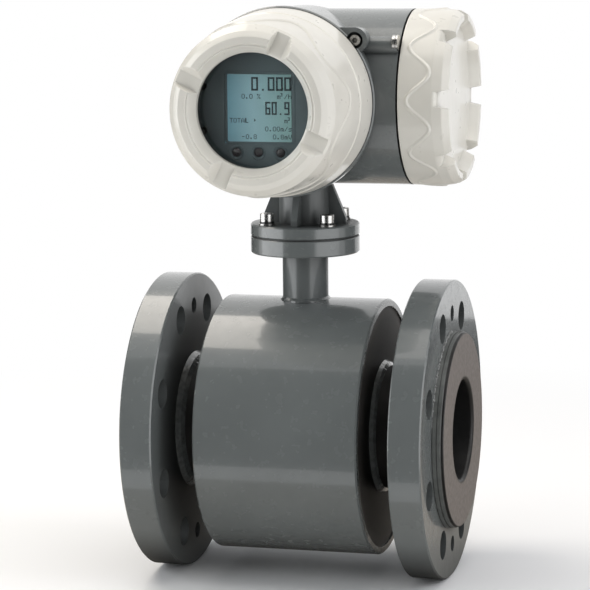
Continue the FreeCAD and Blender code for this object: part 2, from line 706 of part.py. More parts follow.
def locking_lug():
    """Rounded ear at the upper right of the display rim."""
    x, z = lug_place()
    front = -COVER_GAP - LUG_SETBACK
    back = front - LUG_DEPTH
    lean = math.degrees(math.atan2(z, x))
    reach = math.hypot(x, z)
    ear = cylinder(LUG_R, back, front, DISPLAY, x, z)
    foot = turned_about(block((0, -LUG_R, back), (reach, LUG_R, front), DISPLAY), DISPLAY, lean)
    level_top = block((0, 0, back), (x, z + LUG_R, front), DISPLAY)
    above_foot = turned_about(block((0, 0, back), (2 * reach, reach, front), DISPLAY), DISPLAY, lean)
    inside = cylinder(DISPLAY_COLLAR_R, back, front, DISPLAY)
    return foot.fuse(level_top.common(above_foot)).cut(inside).fuse(ear)


def locking_boss():
    """Round boss along the terminal body, from the lug to the terminal rim."""
    y, z = on_circle(BOSS_AXIS_R, 180 - BOSS_ANGLE)
    start = BOSS_START_X - TERMINAL_COVER_X
    return cylinder(BOSS_R, start, -COVER_GAP, TERMINAL, y, z)


def entry_frame(side):
    """Cable entry frame: Z points out of the back, zero at the machined entry face."""
    origin = FreeCAD.Vector(ENTRY_X, ENTRY_FACE_Y, HEAD_Z + side * ENTRY_OFFSET_Z)
    return placement(origin, Z_AXIS, X_AXIS)


def entry_bosses():
    return [cylinder(ENTRY_BOSS_R, -ENTRY_FACE_Y / 2, 0, entry_frame(side)) for side in (-1, 1)]


def housing_neck():
    """Foot flange, neck tube and four gussets."""
    bottom = HOUSING_FLANGE_Z
    top = HOUSING_NECK_Z
    rim = NECK_FLANGE_R - NECK_EDGE
    points = [(bottom, 0), (bottom, rim), (bottom + NECK_EDGE, NECK_FLANGE_R)]
    points += [(top - NECK_EDGE, NECK_FLANGE_R), (top, rim), (top, 0)]
    foot = turned(points)
    tube = cylinder(HOUSING_NECK_R, bottom, HEAD_Z - TERMINAL_BODY_R + HOUSING_NECK_R / 2)
    side = [(0, bottom), (GUSSET_FOOT_R, bottom), (GUSSET_FOOT_R, top + GUSSET_FOOT_HEIGHT)]
    side += [(GUSSET_TOP_R, GUSSET_TOP_Z), (0, GUSSET_TOP_Z)]
    corners = [FreeCAD.Vector(x, -GUSSET_THICKNESS / 2, z) for x, z in side]
    plate = Part.Face(Part.makePolygon(corners + corners[:1])).extrude(Y_AXIS * GUSSET_THICKNESS)
    ribs = [turned_about(plate, UPRIGHT, 360 * index / GUSSET_COUNT) for index in range(GUSSET_COUNT)]
    return foot.fuse([tube] + ribs)


def housing_cavities():
    """Display cavity, terminal cavity, neck passage, wire passage and cable entries."""
    mouth = SPIGOT_LENGTH
    ledge = -(TERMINAL_CAVITY_R + CAVITY_LEDGE) - DISPLAY_COVER_Y
    back = DISPLAY_COVER_Y - DISPLAY_CAVITY_BACK_Y
    round_part = cylinder(DISPLAY_CAVITY_R, -ledge, mouth, DISPLAY)
    deep_part = cylinder(DISPLAY_CAVITY_R, back, mouth, DISPLAY)
    wall_x = TERMINAL_CAVITY_X - PARTITION - DISPLAY_AXIS_X
    reach = DISPLAY_CAVITY_R
    beyond = block((wall_x, -reach, back), (reach, reach, mouth), DISPLAY)
    cavities = [deep_part.cut(beyond), round_part]
    cavities.append(cylinder(TERMINAL_CAVITY_R, TERMINAL_CAVITY_X - TERMINAL_COVER_X, mouth, TERMINAL))
    neck_end = HEAD_Z - DISPLAY_CAVITY_R + OVERCUT
    cavities.append(cylinder(HOUSING_NECK_BORE_R, HOUSING_FLANGE_Z - OVERCUT, neck_end))
    cavities.append(bushing_passage(BUSHING_R + FIT))
    for side in (-1, 1):
        cavities.append(cylinder(ENTRY_BORE_R, -ENTRY_FACE_Y / 2, OVERCUT, entry_frame(side)))
    return cavities


def bushing_passage(radius):
    end = TERMINAL_CAVITY_X - TERMINAL_COVER_X
    return cylinder(radius, end - PARTITION - OVERCUT, end + OVERCUT, TERMINAL, 0, BUSHING_OFFSET_Z)


def transmitter_housing():
    """Aluminium casting with its neck, gussets, lug, boss, spigots and cable entries."""
    casting = housing_outside()
    for cavity in housing_cavities():
        casting = casting.cut(cavity)
    for x, y in neck_screw_places():
        casting = casting.cut(neck_screw_hole(x, y, HOUSING_FLANGE_Z, HOUSING_NECK_Z))
    for frame, x, y, face, pocket_r in lock_places():
        floor = face - LOCK_COUNTERBORE_DEPTH
        end = floor - LOCK_SHANK_LENGTH
        casting = casting.cut(cylinder(pocket_r, floor, face + OVERCUT, frame, x, y))
        casting = casting.cut(cylinder(LOCK_SHANK_R + FIT, end, floor + OVERCUT, frame, x, y))
    return casting.removeSplitter()


def lock_places():
    """Frame, place across it, face height and pocket radius of each cover-locking screw."""
    x, z = lug_place()
    boss_y, boss_z = on_circle(BOSS_AXIS_R, 180 - BOSS_ANGLE)
    lug_face = -COVER_GAP - LUG_SETBACK
    return [(DISPLAY, x, z, lug_face, LOCK_COUNTERBORE_R),
            (TERMINAL, boss_y, boss_z, -COVER_GAP, BOSS_COUNTERBORE_R)]


def cover_lock_screws():
    """One socket screw behind each cover."""
    screws = []
    for frame, x, y, face, _ in lock_places():
        screw = socket_screw(LOCK_HEAD_R, LOCK_HEAD_HEIGHT, LOCK_SHANK_R, LOCK_SHANK_LENGTH - LOCK_END_GAP,
                             LOCK_SOCKET_FLATS, LOCK_SOCKET_DEPTH)
        screw.translate(FreeCAD.Vector(x, y, face - LOCK_COUNTERBORE_DEPTH))
        screws.append(placed(screw, frame))
    return group(screws)


# --- covers ------------------------------------------------------------------------------

def wave_section(radius_at, along_at, degrees):
    """Three corners of the bead: two buried under the cover's surface and the raised crest."""
    def surface_point(angle):
        x, y = on_circle(radius_at(along_at(angle)), angle)
        return FreeCAD.Vector(x, y, along_at(angle))

    point = surface_point(degrees)
    outward = FreeCAD.Vector(point.x, point.y, 0).normalize()
    ahead = surface_point(degrees + WAVE_SLOPE_STEP)
    behind = surface_point(degrees - WAVE_SLOPE_STEP)
    across = outward.cross((ahead - behind).normalize()) * (WAVE_WIDTH / 2)
    foot = point - outward * WAVE_SUNK
    return [foot - across, foot + across, point + outward * WAVE_PROUD]


def wave_ridge(radius_at, middle, swing, count, phase, frame):
    """Closed bead that waves along the axis as it goes round the cover."""
    def along_at(degrees):
        return middle - swing * math.cos(math.radians(count * (degrees - phase)))

    total = count * WAVE_POINTS
    sections = []
    for index in range(total):
        sections.append(wave_section(radius_at, along_at, phase + 360.0 * index / total))
    faces = []
    for index in range(total):
        near = sections[index]
        far = sections[(index + 1) % total]
        for corner in range(3):
            following = (corner + 1) % 3
            for outline in ([near[corner], near[following], far[following]],
                            [near[corner], far[following], far[corner]]):
                faces.append(Part.Face(Part.makePolygon(outline + outline[:1])))
    bead = Part.Solid(Part.makeShell(faces))
    if bead.Volume < 0:
        bead.reverse()
    return placed(bead, frame)


def cut_notches(cover, frame, count, first, floor_at, inner_r, outer_r, top_at):
    """Parallel-sided notches across the front ring, for turning the cover by hand or bar."""
    half = TOOTH_NOTCH_WIDTH / 2
    notch = block((inner_r, -half, floor_at), (outer_r, half, top_at), frame)
    for index in range(count):
        cover = cover.cut(turned_about(notch, frame, first + 360.0 * index / count))
    return cover


def thread_bore_points(spigot_r, inner_at, inner_r, thread_end):
    """Inside outline of a cover from its inside back to the rear edge."""
    bore = spigot_r + THREAD_CLEARANCE
    pocket = spigot_r + 2 * (SEAL_SECTION_R + SEAL_GAP)
    return [(inner_at, inner_r), (thread_end, bore), (SEAL_POCKET_DEPTH, bore),
            (SEAL_POCKET_DEPTH, pocket), (0, pocket)]


def display_skirt_r(along):
    """Outer radius of the conical skirt."""
    share = (along - DISPLAY_COVER_STEP_AT) / (DISPLAY_SHOULDER_AT - DISPLAY_COVER_STEP_AT)
    start = DISPLAY_COVER_STEP_R - DISPLAY_COVER_STEP
    return start + (DISPLAY_SHOULDER_R - start) * share


def display_cover():
    """Cover with the window opening, funnel, four-notched front ring and wavy line."""
    step_at = DISPLAY_COVER_STEP_AT
    edge = COLLAR_CHAMFER
    step = DISPLAY_COVER_STEP
    outside = [(0, DISPLAY_COVER_REAR_R - edge), (edge, DISPLAY_COVER_REAR_R)]
    outside += [(step_at, DISPLAY_COVER_STEP_R), (step_at + step, DISPLAY_COVER_STEP_R - step)]
    outside += [(DISPLAY_SHOULDER_AT, DISPLAY_SHOULDER_R), (DISPLAY_BEVEL_AT, DISPLAY_BEVEL_R)]
    outside += [(DISPLAY_TOP_AT, DISPLAY_TOP_OUTER_R), (DISPLAY_TOP_AT, DISPLAY_TOP_INNER_R)]
    pocket_r = GLASS_R + GLASS_SIDE_CLEARANCE
    retainer_r = RETAINER_R + FIT
    inner_r = display_skirt_r(RETAINER_BACK_AT) - DISPLAY_COVER_WALL
    inside = [(WINDOW_AT, WINDOW_R), (GLASS_SEAT_AT, WINDOW_R), (GLASS_SEAT_AT, pocket_r)]
    inside += [(GLASS_BACK_AT, pocket_r), (GLASS_BACK_AT, retainer_r), (RETAINER_BACK_AT, retainer_r)]
    inside += thread_bore_points(DISPLAY_SPIGOT_R, RETAINER_BACK_AT, inner_r, COVER_THREAD_END)
    cover = turned(outside + inside, DISPLAY)
    ridge = wave_ridge(display_skirt_r, DISPLAY_WAVE_AT, DISPLAY_WAVE_SWING, DISPLAY_WAVE_COUNT,
                       DISPLAY_WAVE_ANGLE, DISPLAY)
    cover = cover.fuse(ridge)
    notch_in = WINDOW_R + GLASS_SIDE_CLEARANCE
    return cut_notches(cover, DISPLAY, DISPLAY_NOTCH_COUNT, DISPLAY_NOTCH_ANGLE, DISPLAY_NOTCH_FLOOR_AT,
                       notch_in, DISPLAY_COVER_REAR_R, DISPLAY_TOP_AT + OVERCUT)


def terminal_skirt_r(_along):
    return TERMINAL_COVER_R


def terminal_cover():
    """Blind cover with eight teeth and a wavy line."""
    edge = COLLAR_CHAMFER / 2
    outside = [(0, TERMINAL_COVER_R - edge), (edge, TERMINAL_COVER_R)]
    outside += [(TERMINAL_SHOULDER_AT, TERMINAL_SHOULDER_R), (TERMINAL_BEVEL_AT, TERMINAL_BEVEL_R)]
    outside += [(TERMINAL_TOP_AT, TERMINAL_TOP_OUTER_R)]
    outside += [(TERMINAL_TOP_AT, TERMINAL_TOP_INNER_R), (TERMINAL_FLOOR_AT, TERMINAL_TOP_INNER_R)]
    outside += [(TERMINAL_FLOOR_AT, 0)]
    inside = [(TERMINAL_INSIDE_AT, 0)]
    inside += thread_bore_points(TERMINAL_SPIGOT_R, TERMINAL_INSIDE_AT, TERMINAL_INSIDE_R, COVER_THREAD_END)
    cover = turned(outside + inside, TERMINAL)
    ridge = wave_ridge(terminal_skirt_r, TERMINAL_WAVE_AT, TERMINAL_WAVE_SWING, TERMINAL_WAVE_COUNT,
                       TERMINAL_WAVE_ANGLE, TERMINAL)
    cover = cover.fuse(ridge)
    return cut_notches(cover, TERMINAL, TERMINAL_NOTCH_COUNT, 0, TERMINAL_FLOOR_AT,
                       TERMINAL_TOP_INNER_R - OVERCUT, TERMINAL_COVER_R + OVERCUT, TERMINAL_TOP_AT + OVERCUT)


def cover_seal(spigot_r, frame):
    """Rubber ring at the root of a spigot, in the cover's rear pocket."""
    centre_r = spigot_r + SEAL_GAP + SEAL_SECTION_R
    torus = Part.makeTorus(centre_r, SEAL_SECTION_R)
    torus.translate(Z_AXIS * (SEAL_GAP + SEAL_SECTION_R - COVER_GAP))
    return placed(torus, frame)


def window_glass():
    return cylinder(GLASS_R, GLASS_BACK_AT, GLASS_FRONT_AT, DISPLAY)


def glass_gasket():
    return ring(GLASS_R, WINDOW_R, GLASS_FRONT_AT, GLASS_SEAT_AT, DISPLAY)


def glass_retaining_ring():
    """Threaded ring behind the glass, with two slots for a pin wrench."""
    body = ring(RETAINER_R, RETAINER_BORE_R, RETAINER_BACK_AT, GLASS_BACK_AT, DISPLAY)
    half = RETAINER_SLOT_WIDTH / 2
    low = (-RETAINER_R, -half, RETAINER_BACK_AT - OVERCUT)
    high = (RETAINER_R, half, RETAINER_BACK_AT + RETAINER_SLOT_DEPTH)
    return body.cut(block(low, high, DISPLAY))


# --- display unit and electronics ---------------------------------------------------------------

def across_display(y):
    """Frame on the display axis at a given Y, looking out of the display."""
    return placement(FreeCAD.Vector(DISPLAY_AXIS_X, y, HEAD_Z), X_AXIS, Z_AXIS)


def key_places():
    middle = (KEY_COUNT - 1) / 2
    return [((index - middle) * KEY_SPACING, -KEY_DROP) for index in range(KEY_COUNT)]


def panel_screw_places():
    return [(x, z) for x in (-PANEL_SCREW_X, PANEL_SCREW_X) for z in (-PANEL_SCREW_Z, PANEL_SCREW_Z)]


def display_panel():
    """Round bezel plate with the screen opening and the dimpled key holes."""
    frame = across_display(PANEL_Y)
    half = LCD_SIZE / 2 + LCD_CLEARANCE
    back = -PANEL_THICKNESS - OVERCUT
    plate = cylinder(PANEL_R, -PANEL_THICKNESS, 0, frame)
    plate = plate.cut(block((-half, -half, back), (half, half, OVERCUT), frame))
    for x, z in key_places():
        plate = plate.cut(cylinder(KEY_DIMPLE_R, -KEY_DIMPLE_DEPTH, OVERCUT, frame, x, z))
        plate = plate.cut(cylinder(KEY_R + LCD_CLEARANCE, back, OVERCUT, frame, x, z))
    for x, z in panel_screw_places():
        plate = plate.cut(cylinder(PANEL_SCREW_SHANK_R + LCD_CLEARANCE, back, OVERCUT, frame, x, z))
    return plate


def lcd_module():
    """Liquid crystal screen whose face sits in the panel's opening."""
    frame = across_display(PANEL_Y)
    face = LCD_SIZE / 2
    base = LCD_BASE_SIZE / 2
    back = -PANEL_THICKNESS - LCD_BASE_THICKNESS
    high = face + LCD_BASE_LIP
    screen = block((-face, -face, back), (face, face, 0), frame)
    return screen.fuse(block((-base, -high, back), (base, high, -PANEL_THICKNESS), frame)).removeSplitter()


def optical_keys():
    """Lenses of the infra-red keys, fixed in the panel's dimples."""
    frame = across_display(PANEL_Y)
    lenses = []
    for x, z in key_places():
        top = KEY_PROUD - KEY_DIMPLE_DEPTH
        lens = cylinder(KEY_R, -PANEL_THICKNESS - LCD_BASE_THICKNESS, top, frame, x, z)
        lenses.append(lens)
    return group(lenses)


def panel_screws():
    frame = across_display(PANEL_Y)
    screws = []
    for x, z in panel_screw_places():
        head = cylinder(PANEL_SCREW_HEAD_R, 0, PANEL_SCREW_HEAD, frame, x, z)
        shank = cylinder(PANEL_SCREW_SHANK_R, -PANEL_THICKNESS - LCD_BASE_THICKNESS, 0, frame, x, z)
        screws.append(head.fuse(shank))
    return group(screws)


def circuit_board(y, flat):
    """Round board; its front face is at Y, and a flat clears the partition where needed."""
    frame = across_display(y)
    board = cylinder(BOARD_R, -BOARD_THICKNESS, 0, frame)
    if flat:
        edge = BOARD_FLAT_X - DISPLAY_AXIS_X
        board = board.cut(block((edge, -BOARD_R, -BOARD_THICKNESS), (BOARD_R, BOARD_R, 0), frame))
    return board


def standoffs(front_y, back_y):
    """Hexagonal pillars between two boards, or between a board and the cavity floor."""
    frame = across_display(front_y)
    pillars = []
    for degrees in STANDOFF_ANGLES:
        x, z = on_circle(STANDOFF_CIRCLE_R, degrees)
        pillars.append(hexagon(STANDOFF_FLATS, front_y - back_y, 0, frame, x, z))
    return group(pillars)


def power_transformer():
    width, depth, height = TRANSFORMER_SIZE
    low_z = HEAD_Z + TRANSFORMER_RAISE - height / 2
    low = (DISPLAY_AXIS_X - width / 2, POWER_BOARD_Y - depth, low_z)
    high = (DISPLAY_AXIS_X + width / 2, POWER_BOARD_Y, low_z + height)
    core = block(low, high)
    long_edges = [edge for edge in core.Edges if abs(edge.tangentAt(0).dot(Y_AXIS)) > 0.5]
    return core.makeChamfer(TRANSFORMER_CHAMFER, long_edges)


def harness_connector():
    """Socket strip on the power board, over the neck passage."""
    half = CONNECTOR_SIZE / 2
    low = (-half, POWER_BOARD_Y + BOARD_THICKNESS, CONNECTOR_Z)
    return block(low, (half, half, CONNECTOR_Z + CONNECTOR_HEIGHT))


def lead_harness():
    """Sheathed coil and electrode leads, straight up the neck into the connector."""
    return cylinder(HARNESS_R, YOKE_OUTER_R + HARNESS_FOOT_CLEARANCE, CONNECTOR_Z)


# --- terminal compartment ------------------------------------------------------------------------

def terminal_plate():
    """Insulating base plate on the partition."""
    start = TERMINAL_CAVITY_X - TERMINAL_COVER_X
    end = start + TERMINAL_PLATE_THICKNESS
    plate = cylinder(TERMINAL_PLATE_R, start, end, TERMINAL)
    return plate.cut(cylinder(BUSHING_HEAD_R + FIT, start, end, TERMINAL, 0, BUSHING_OFFSET_Z))


def terminal_rows():
    middle = (TERMINAL_WAYS - 1) / 2
    return [HEAD_Z + (index - middle) * TERMINAL_WAY_PITCH for index in range(TERMINAL_WAYS)]


def terminal_block():
    """Moulded strip of screw terminals with walls between the ways."""
    depth, width, height = TERMINAL_BLOCK_SIZE
    start = TERMINAL_CAVITY_X + TERMINAL_PLATE_THICKNESS
    seat = start + depth / 2
    low = (start, -width / 2, HEAD_Z - height / 2)
    strip = block(low, (start + depth, width / 2, HEAD_Z + height / 2))
    pocket = (TERMINAL_WAY_PITCH - TERMINAL_WAY_WALL) / 2
    for z in terminal_rows():
        strip = strip.cut(block((seat, -width / 2, z - pocket), (start + depth, width / 2, z + pocket)))
        strip = strip.cut(terminal_shank(TERMINAL_SCREW_SHANK_R + FIT, seat, z))
    return strip


def terminal_shank(radius, seat, z):
    """Round bar of one terminal screw, behind its seat."""
    return Part.makeCylinder(radius, TERMINAL_SCREW_SHANK, FreeCAD.Vector(seat, 0, z), -X_AXIS)


def terminal_screws():
    seat = TERMINAL_CAVITY_X + TERMINAL_PLATE_THICKNESS + TERMINAL_BLOCK_SIZE[0] / 2
    screws = []
    for z in terminal_rows():
        foot = FreeCAD.Vector(seat, 0, z)
        head = Part.makeCylinder(TERMINAL_SCREW_HEAD_R, TERMINAL_SCREW_HEAD, foot, X_AXIS)
        screws.append(head.fuse(terminal_shank(TERMINAL_SCREW_SHANK_R, seat, z)))
    return group(screws)


def partition_bushing():
    """Sealed wire bushing between the two compartments."""
    start = TERMINAL_CAVITY_X - PARTITION - TERMINAL_COVER_X
    end = TERMINAL_CAVITY_X - TERMINAL_COVER_X
    barrel = cylinder(BUSHING_R, start, end, TERMINAL, 0, BUSHING_OFFSET_Z)
    return barrel.fuse(cylinder(BUSHING_HEAD_R, end, end + BUSHING_HEAD, TERMINAL, 0, BUSHING_OFFSET_Z))


# --- cable entries -------------------------------------------------------------------------------

def cable_glands():
    """Gland bodies: threaded shank in the entry, hexagon and seal barrel outside."""
    bodies = []
    for side in (-1, 1):
        frame = entry_frame(side)
        shank = cylinder(ENTRY_BORE_R - FIT, -GLAND_THREAD_LENGTH, 0, frame)
        collar = hexagon(GLAND_HEX_FLATS, 0, GLAND_HEX_THICKNESS, frame)
        barrel_end = GLAND_HEX_THICKNESS + GLAND_BODY_LENGTH
        barrel = cylinder(GLAND_BODY_R, GLAND_HEX_THICKNESS, barrel_end, frame)
        body = shank.fuse([collar, barrel])
        body = body.cut(cylinder(GLAND_CABLE_R, -GLAND_THREAD_LENGTH, barrel_end, frame))
        seal_at = barrel_end - GLAND_SEAL_LENGTH
        bodies.append(body.cut(cylinder(GLAND_SEAL_R + FIT, seal_at, barrel_end, frame)))
    return group(bodies)


def gland_seals():
    seals = []
    end = GLAND_HEX_THICKNESS + GLAND_BODY_LENGTH
    for side in (-1, 1):
        seals.append(ring(GLAND_SEAL_R, GLAND_CABLE_R, end - GLAND_SEAL_LENGTH, end, entry_frame(side)))
    return group(seals)


def gland_nuts():
    """Domed hexagon nuts that squeeze the seals."""
    nuts = []
    start = GLAND_HEX_THICKNESS + FIT
    end = start + GLAND_NUT_LENGTH
    barrel_end = GLAND_HEX_THICKNESS + GLAND_BODY_LENGTH
    for side in (-1, 1):
        frame = entry_frame(side)
        outline = [(start, 0), (start, GLAND_NUT_FLATS), (end - GLAND_DOME_LENGTH, GLAND_DOME_R)]
        outline += [(end, GLAND_CROWN_R), (end, 0)]
        nut = hexagon(GLAND_NUT_FLATS, start, end, frame).common(turned(outline, frame))
        nut = nut.cut(cylinder(GLAND_BODY_R + FIT, start, barrel_end + FIT, frame))
        nuts.append(nut.cut(cylinder(GLAND_MOUTH_R, start, end, frame)))
    return group(nuts)


def sub_parts():
    """Every sub-part by the name of its file."""
    parts = {
        "measuring_tube": measuring_tube(),
        "tube_liner": tube_liner(),
        "inlet_flange": flange(-1),
        "outlet_flange": flange(1),
        "inlet_liner_ring": liner_ring(-1),
        "outlet_liner_ring": liner_ring(1),
        "coil_shell": coil_shell(),
        "inlet_end_plate": end_plate(-1),
        "outlet_end_plate": end_plate(1),
        "weld_beads": weld_beads(),
        "magnet_yoke": magnet_yoke(),
        "upper_pole_piece": pole_piece(1),
        "lower_pole_piece": pole_piece(-1),
        "upper_coil": coil(1),
        "lower_coil": coil(-1),
        "signal_electrodes": signal_electrodes(),
        "electrode_bushes": electrode_bushes(),
        "electrode_nuts": electrode_nuts(),
        "neck_pipe": neck_pipe(),
        "neck_flange": neck_flange(),
        "neck_gasket": neck_gasket(),
        "clamp_screws": clamp_screws(),
        "spring_washers": spring_washers(),
        "flat_washers": flat_washers(),
        "transmitter_housing": transmitter_housing(),
        "cover_lock_screws": cover_lock_screws(),
        "display_cover": display_cover(),
        "display_cover_seal": cover_seal(DISPLAY_SPIGOT_R, DISPLAY),
        "window_glass": window_glass(),
        "glass_gasket": glass_gasket(),
        "glass_retaining_ring": glass_retaining_ring(),
        "terminal_cover": terminal_cover(),
        "terminal_cover_seal": cover_seal(TERMINAL_SPIGOT_R, TERMINAL),
        "display_panel": display_panel(),
        "lcd_module": lcd_module(),
        "optical_keys": optical_keys(),
        "panel_screws": panel_screws(),
        "display_board": circuit_board(DISPLAY_BOARD_Y, False),
        "main_board": circuit_board(MAIN_BOARD_Y, False),
        "power_board": circuit_board(POWER_BOARD_Y, True),
        "power_transformer": power_transformer(),
        "front_standoffs": standoffs(DISPLAY_BOARD_Y + BOARD_THICKNESS, MAIN_BOARD_Y),
        "middle_standoffs": standoffs(MAIN_BOARD_Y + BOARD_THICKNESS, POWER_BOARD_Y),
        "rear_standoffs": standoffs(POWER_BOARD_Y + BOARD_THICKNESS, DISPLAY_CAVITY_BACK_Y),
        "harness_connector": harness_connector(),
        "lead_harness": lead_harness(),
        "terminal_plate": terminal_plate(),
        "terminal_block": terminal_block(),
        "terminal_screws": terminal_screws(),
        "partition_bushing": partition_bushing(),
        "cable_glands": cable_glands(),
        "gland_seals": gland_seals(),
        "gland_nuts": gland_nuts(),
    }
    return parts


def main():
    os.makedirs("parts", exist_ok=True)
    for name, shape in sub_parts().items():
        shape.exportStep(os.path.join("parts", name + ".step"))
        print(name, "solids", len(shape.Solids), "valid", shape.isValid(), "volume", round(shape.Volume, 1))


main()
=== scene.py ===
"""Looks of the flanged electromagnetic flow meter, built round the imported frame, in metres."""
import json
import math
import bmesh
import bpy
from mathutils import Matrix, Vector


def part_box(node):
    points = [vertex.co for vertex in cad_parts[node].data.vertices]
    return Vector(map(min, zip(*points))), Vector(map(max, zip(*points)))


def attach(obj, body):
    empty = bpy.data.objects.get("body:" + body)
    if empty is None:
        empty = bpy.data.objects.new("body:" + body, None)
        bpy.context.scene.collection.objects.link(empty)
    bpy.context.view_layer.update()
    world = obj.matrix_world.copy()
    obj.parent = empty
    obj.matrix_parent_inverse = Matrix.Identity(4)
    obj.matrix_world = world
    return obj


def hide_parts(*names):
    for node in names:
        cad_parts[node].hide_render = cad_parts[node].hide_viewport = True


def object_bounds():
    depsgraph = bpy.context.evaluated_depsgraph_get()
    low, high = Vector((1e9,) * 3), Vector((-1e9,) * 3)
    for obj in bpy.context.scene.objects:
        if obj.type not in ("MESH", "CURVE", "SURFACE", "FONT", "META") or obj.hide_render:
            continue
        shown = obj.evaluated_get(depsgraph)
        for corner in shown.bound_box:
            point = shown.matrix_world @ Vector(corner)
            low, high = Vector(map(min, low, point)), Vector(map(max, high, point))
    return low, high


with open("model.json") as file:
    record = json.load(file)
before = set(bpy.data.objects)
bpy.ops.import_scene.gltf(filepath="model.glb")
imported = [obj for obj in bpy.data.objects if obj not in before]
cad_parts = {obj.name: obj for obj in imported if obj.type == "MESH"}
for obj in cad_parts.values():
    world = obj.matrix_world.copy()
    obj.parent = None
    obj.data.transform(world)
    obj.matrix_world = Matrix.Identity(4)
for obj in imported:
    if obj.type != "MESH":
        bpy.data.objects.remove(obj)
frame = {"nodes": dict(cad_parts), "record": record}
cad_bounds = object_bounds()

MM = 0.001


# --- node helpers -------------------------------------------------------------------------

def new_material(name):
    """A new material with its node tree and its shader."""
    material = bpy.data.materials.new(name)
    material.use_nodes = True
    tree = material.node_tree
    return material, tree, tree.nodes["Principled BSDF"]


def add_node(tree, kind, **values):
    node = tree.nodes.new(kind)
    for key, value in values.items():
        setattr(node, key, value)
    return node


def feed(tree, node, values):
    """Links or sets inputs of a node: each value is a socket, a colour, a vector or a number."""
    for key, value in values.items():
        socket = node.inputs[key]
        if isinstance(value, bpy.types.NodeSocket):
            tree.links.new(value, socket)
        elif socket.type == "RGBA":
            socket.default_value = (*value, 1.0)
        else:
            socket.default_value = value


def object_coordinates(tree):
    return add_node(tree, "ShaderNodeTexCoord").outputs["Object"]


def object_x(tree):
    """Place in metres along the pipe, which is also across the display."""
    split = add_node(tree, "ShaderNodeSeparateXYZ")
    feed(tree, split, {"Vector": object_coordinates(tree)})
    return split.outputs["X"]


def radius_from(tree, axis):
    """Distance in metres from one of the part's main axes through the origin."""
    flat = add_node(tree, "ShaderNodeVectorMath", operation="MULTIPLY")
    length = add_node(tree, "ShaderNodeVectorMath", operation="LENGTH")
    across = tuple(0.0 if index == axis else 1.0 for index in range(3))
    feed(tree, flat, {0: object_coordinates(tree), 1: across})
    feed(tree, length, {0: flat.outputs[0]})
    return length.outputs["Value"]


def noise(tree, scale, detail, stretch=(1, 1, 1), distortion=0.0):
    """Noise in object metres; scale is cells a metre."""
    mapping = add_node(tree, "ShaderNodeMapping")
    texture = add_node(tree, "ShaderNodeTexNoise")
    feed(tree, mapping, {"Vector": object_coordinates(tree), "Scale": stretch})
    feed(tree, texture, {"Vector": mapping.outputs["Vector"], "Scale": scale, "Detail": detail,
                         "Distortion": distortion})
    return texture.outputs["Fac"]


def remapped(tree, source, from_low, from_high, to_low, to_high):
    """The source's value, moved from one range to another and kept within it."""
    node = add_node(tree, "ShaderNodeMapRange")
    feed(tree, node, {"Value": source, "From Min": from_low, "From Max": from_high,
                      "To Min": to_low, "To Max": to_high})
    return node.outputs["Result"]


def mixed(tree, blend, factor, first, second):
    """Mix of two colours; the node's inputs 0, 6 and 7 are its factor and its two colours."""
    node = add_node(tree, "ShaderNodeMix", data_type="RGBA", blend_type=blend)
    feed(tree, node, {0: factor, 6: first, 7: second})
    return node.outputs[2]


def scaled(tree, colour, factor):
    """The colour times a factor that varies over the surface."""
    return mixed(tree, "MULTIPLY", 1.0, colour, factor)


def ramp(tree, source, stops):
    """Colour ramp from a list of (place, colour)."""
    node = add_node(tree, "ShaderNodeValToRGB")
    elements = node.color_ramp.elements
    while len(elements) < len(stops):
        elements.new(0.5)
    for element, (place, colour) in zip(elements, stops):
        element.position = place
        element.color = (*colour, 1.0)
    feed(tree, node, {"Fac": source})
    return node.outputs["Color"]


def shade(colour, factor):
    return tuple(channel * factor for channel in colour)


def shades(tree, source, colour, stops):
    """Ramp of lighter and darker shades of one colour, from a list of (place, factor)."""
    return ramp(tree, source, [(place, shade(colour, factor)) for place, factor in stops])


NOISE_LOW = 0.3
NOISE_HIGH = 0.7


def wandering(tree, source, low, high):
    """A number that wanders between two values with a noise."""
    return remapped(tree, source, NOISE_LOW, NOISE_HIGH, low, high)


def mottled(tree, source, colour, dark, light):
    """A colour that wanders between two shades of itself with a noise."""
    return shades(tree, source, colour, [(NOISE_LOW, dark), (NOISE_HIGH, light)])


def openness(tree, reach, lowest=0.0):
    """1 on open surfaces, falling to the lowest value where the surface is boxed in."""
    boxed_in, open_enough = 0.2, 0.9
    seen_sky = add_node(tree, "ShaderNodeAmbientOcclusion", samples=16)
    feed(tree, seen_sky, {"Distance": reach})
    return remapped(tree, seen_sky.outputs["AO"], boxed_in, open_enough, lowest, 1.0)


def painted_crevice_shade(tree, colour, reach, darkest):
    """Painted shade: the colour, darkened where the surface is boxed in."""
    return scaled(tree, colour, openness(tree, reach, darkest))


def bump(tree, shader, height, strength, distance, after=None):
    """Bends the shader's normal by a height, on top of an earlier bump if there is one."""
    node = add_node(tree, "ShaderNodeBump")
    feed(tree, node, {"Height": height, "Strength": strength, "Distance": distance})
    if after is not None:
        feed(tree, node, {"Normal": after})
    feed(tree, shader, {"Normal": node.outputs["Normal"]})
    return node.outputs["Normal"]


# --- materials ----------------------------------------------------------------------------

WET_COAT = 0.06


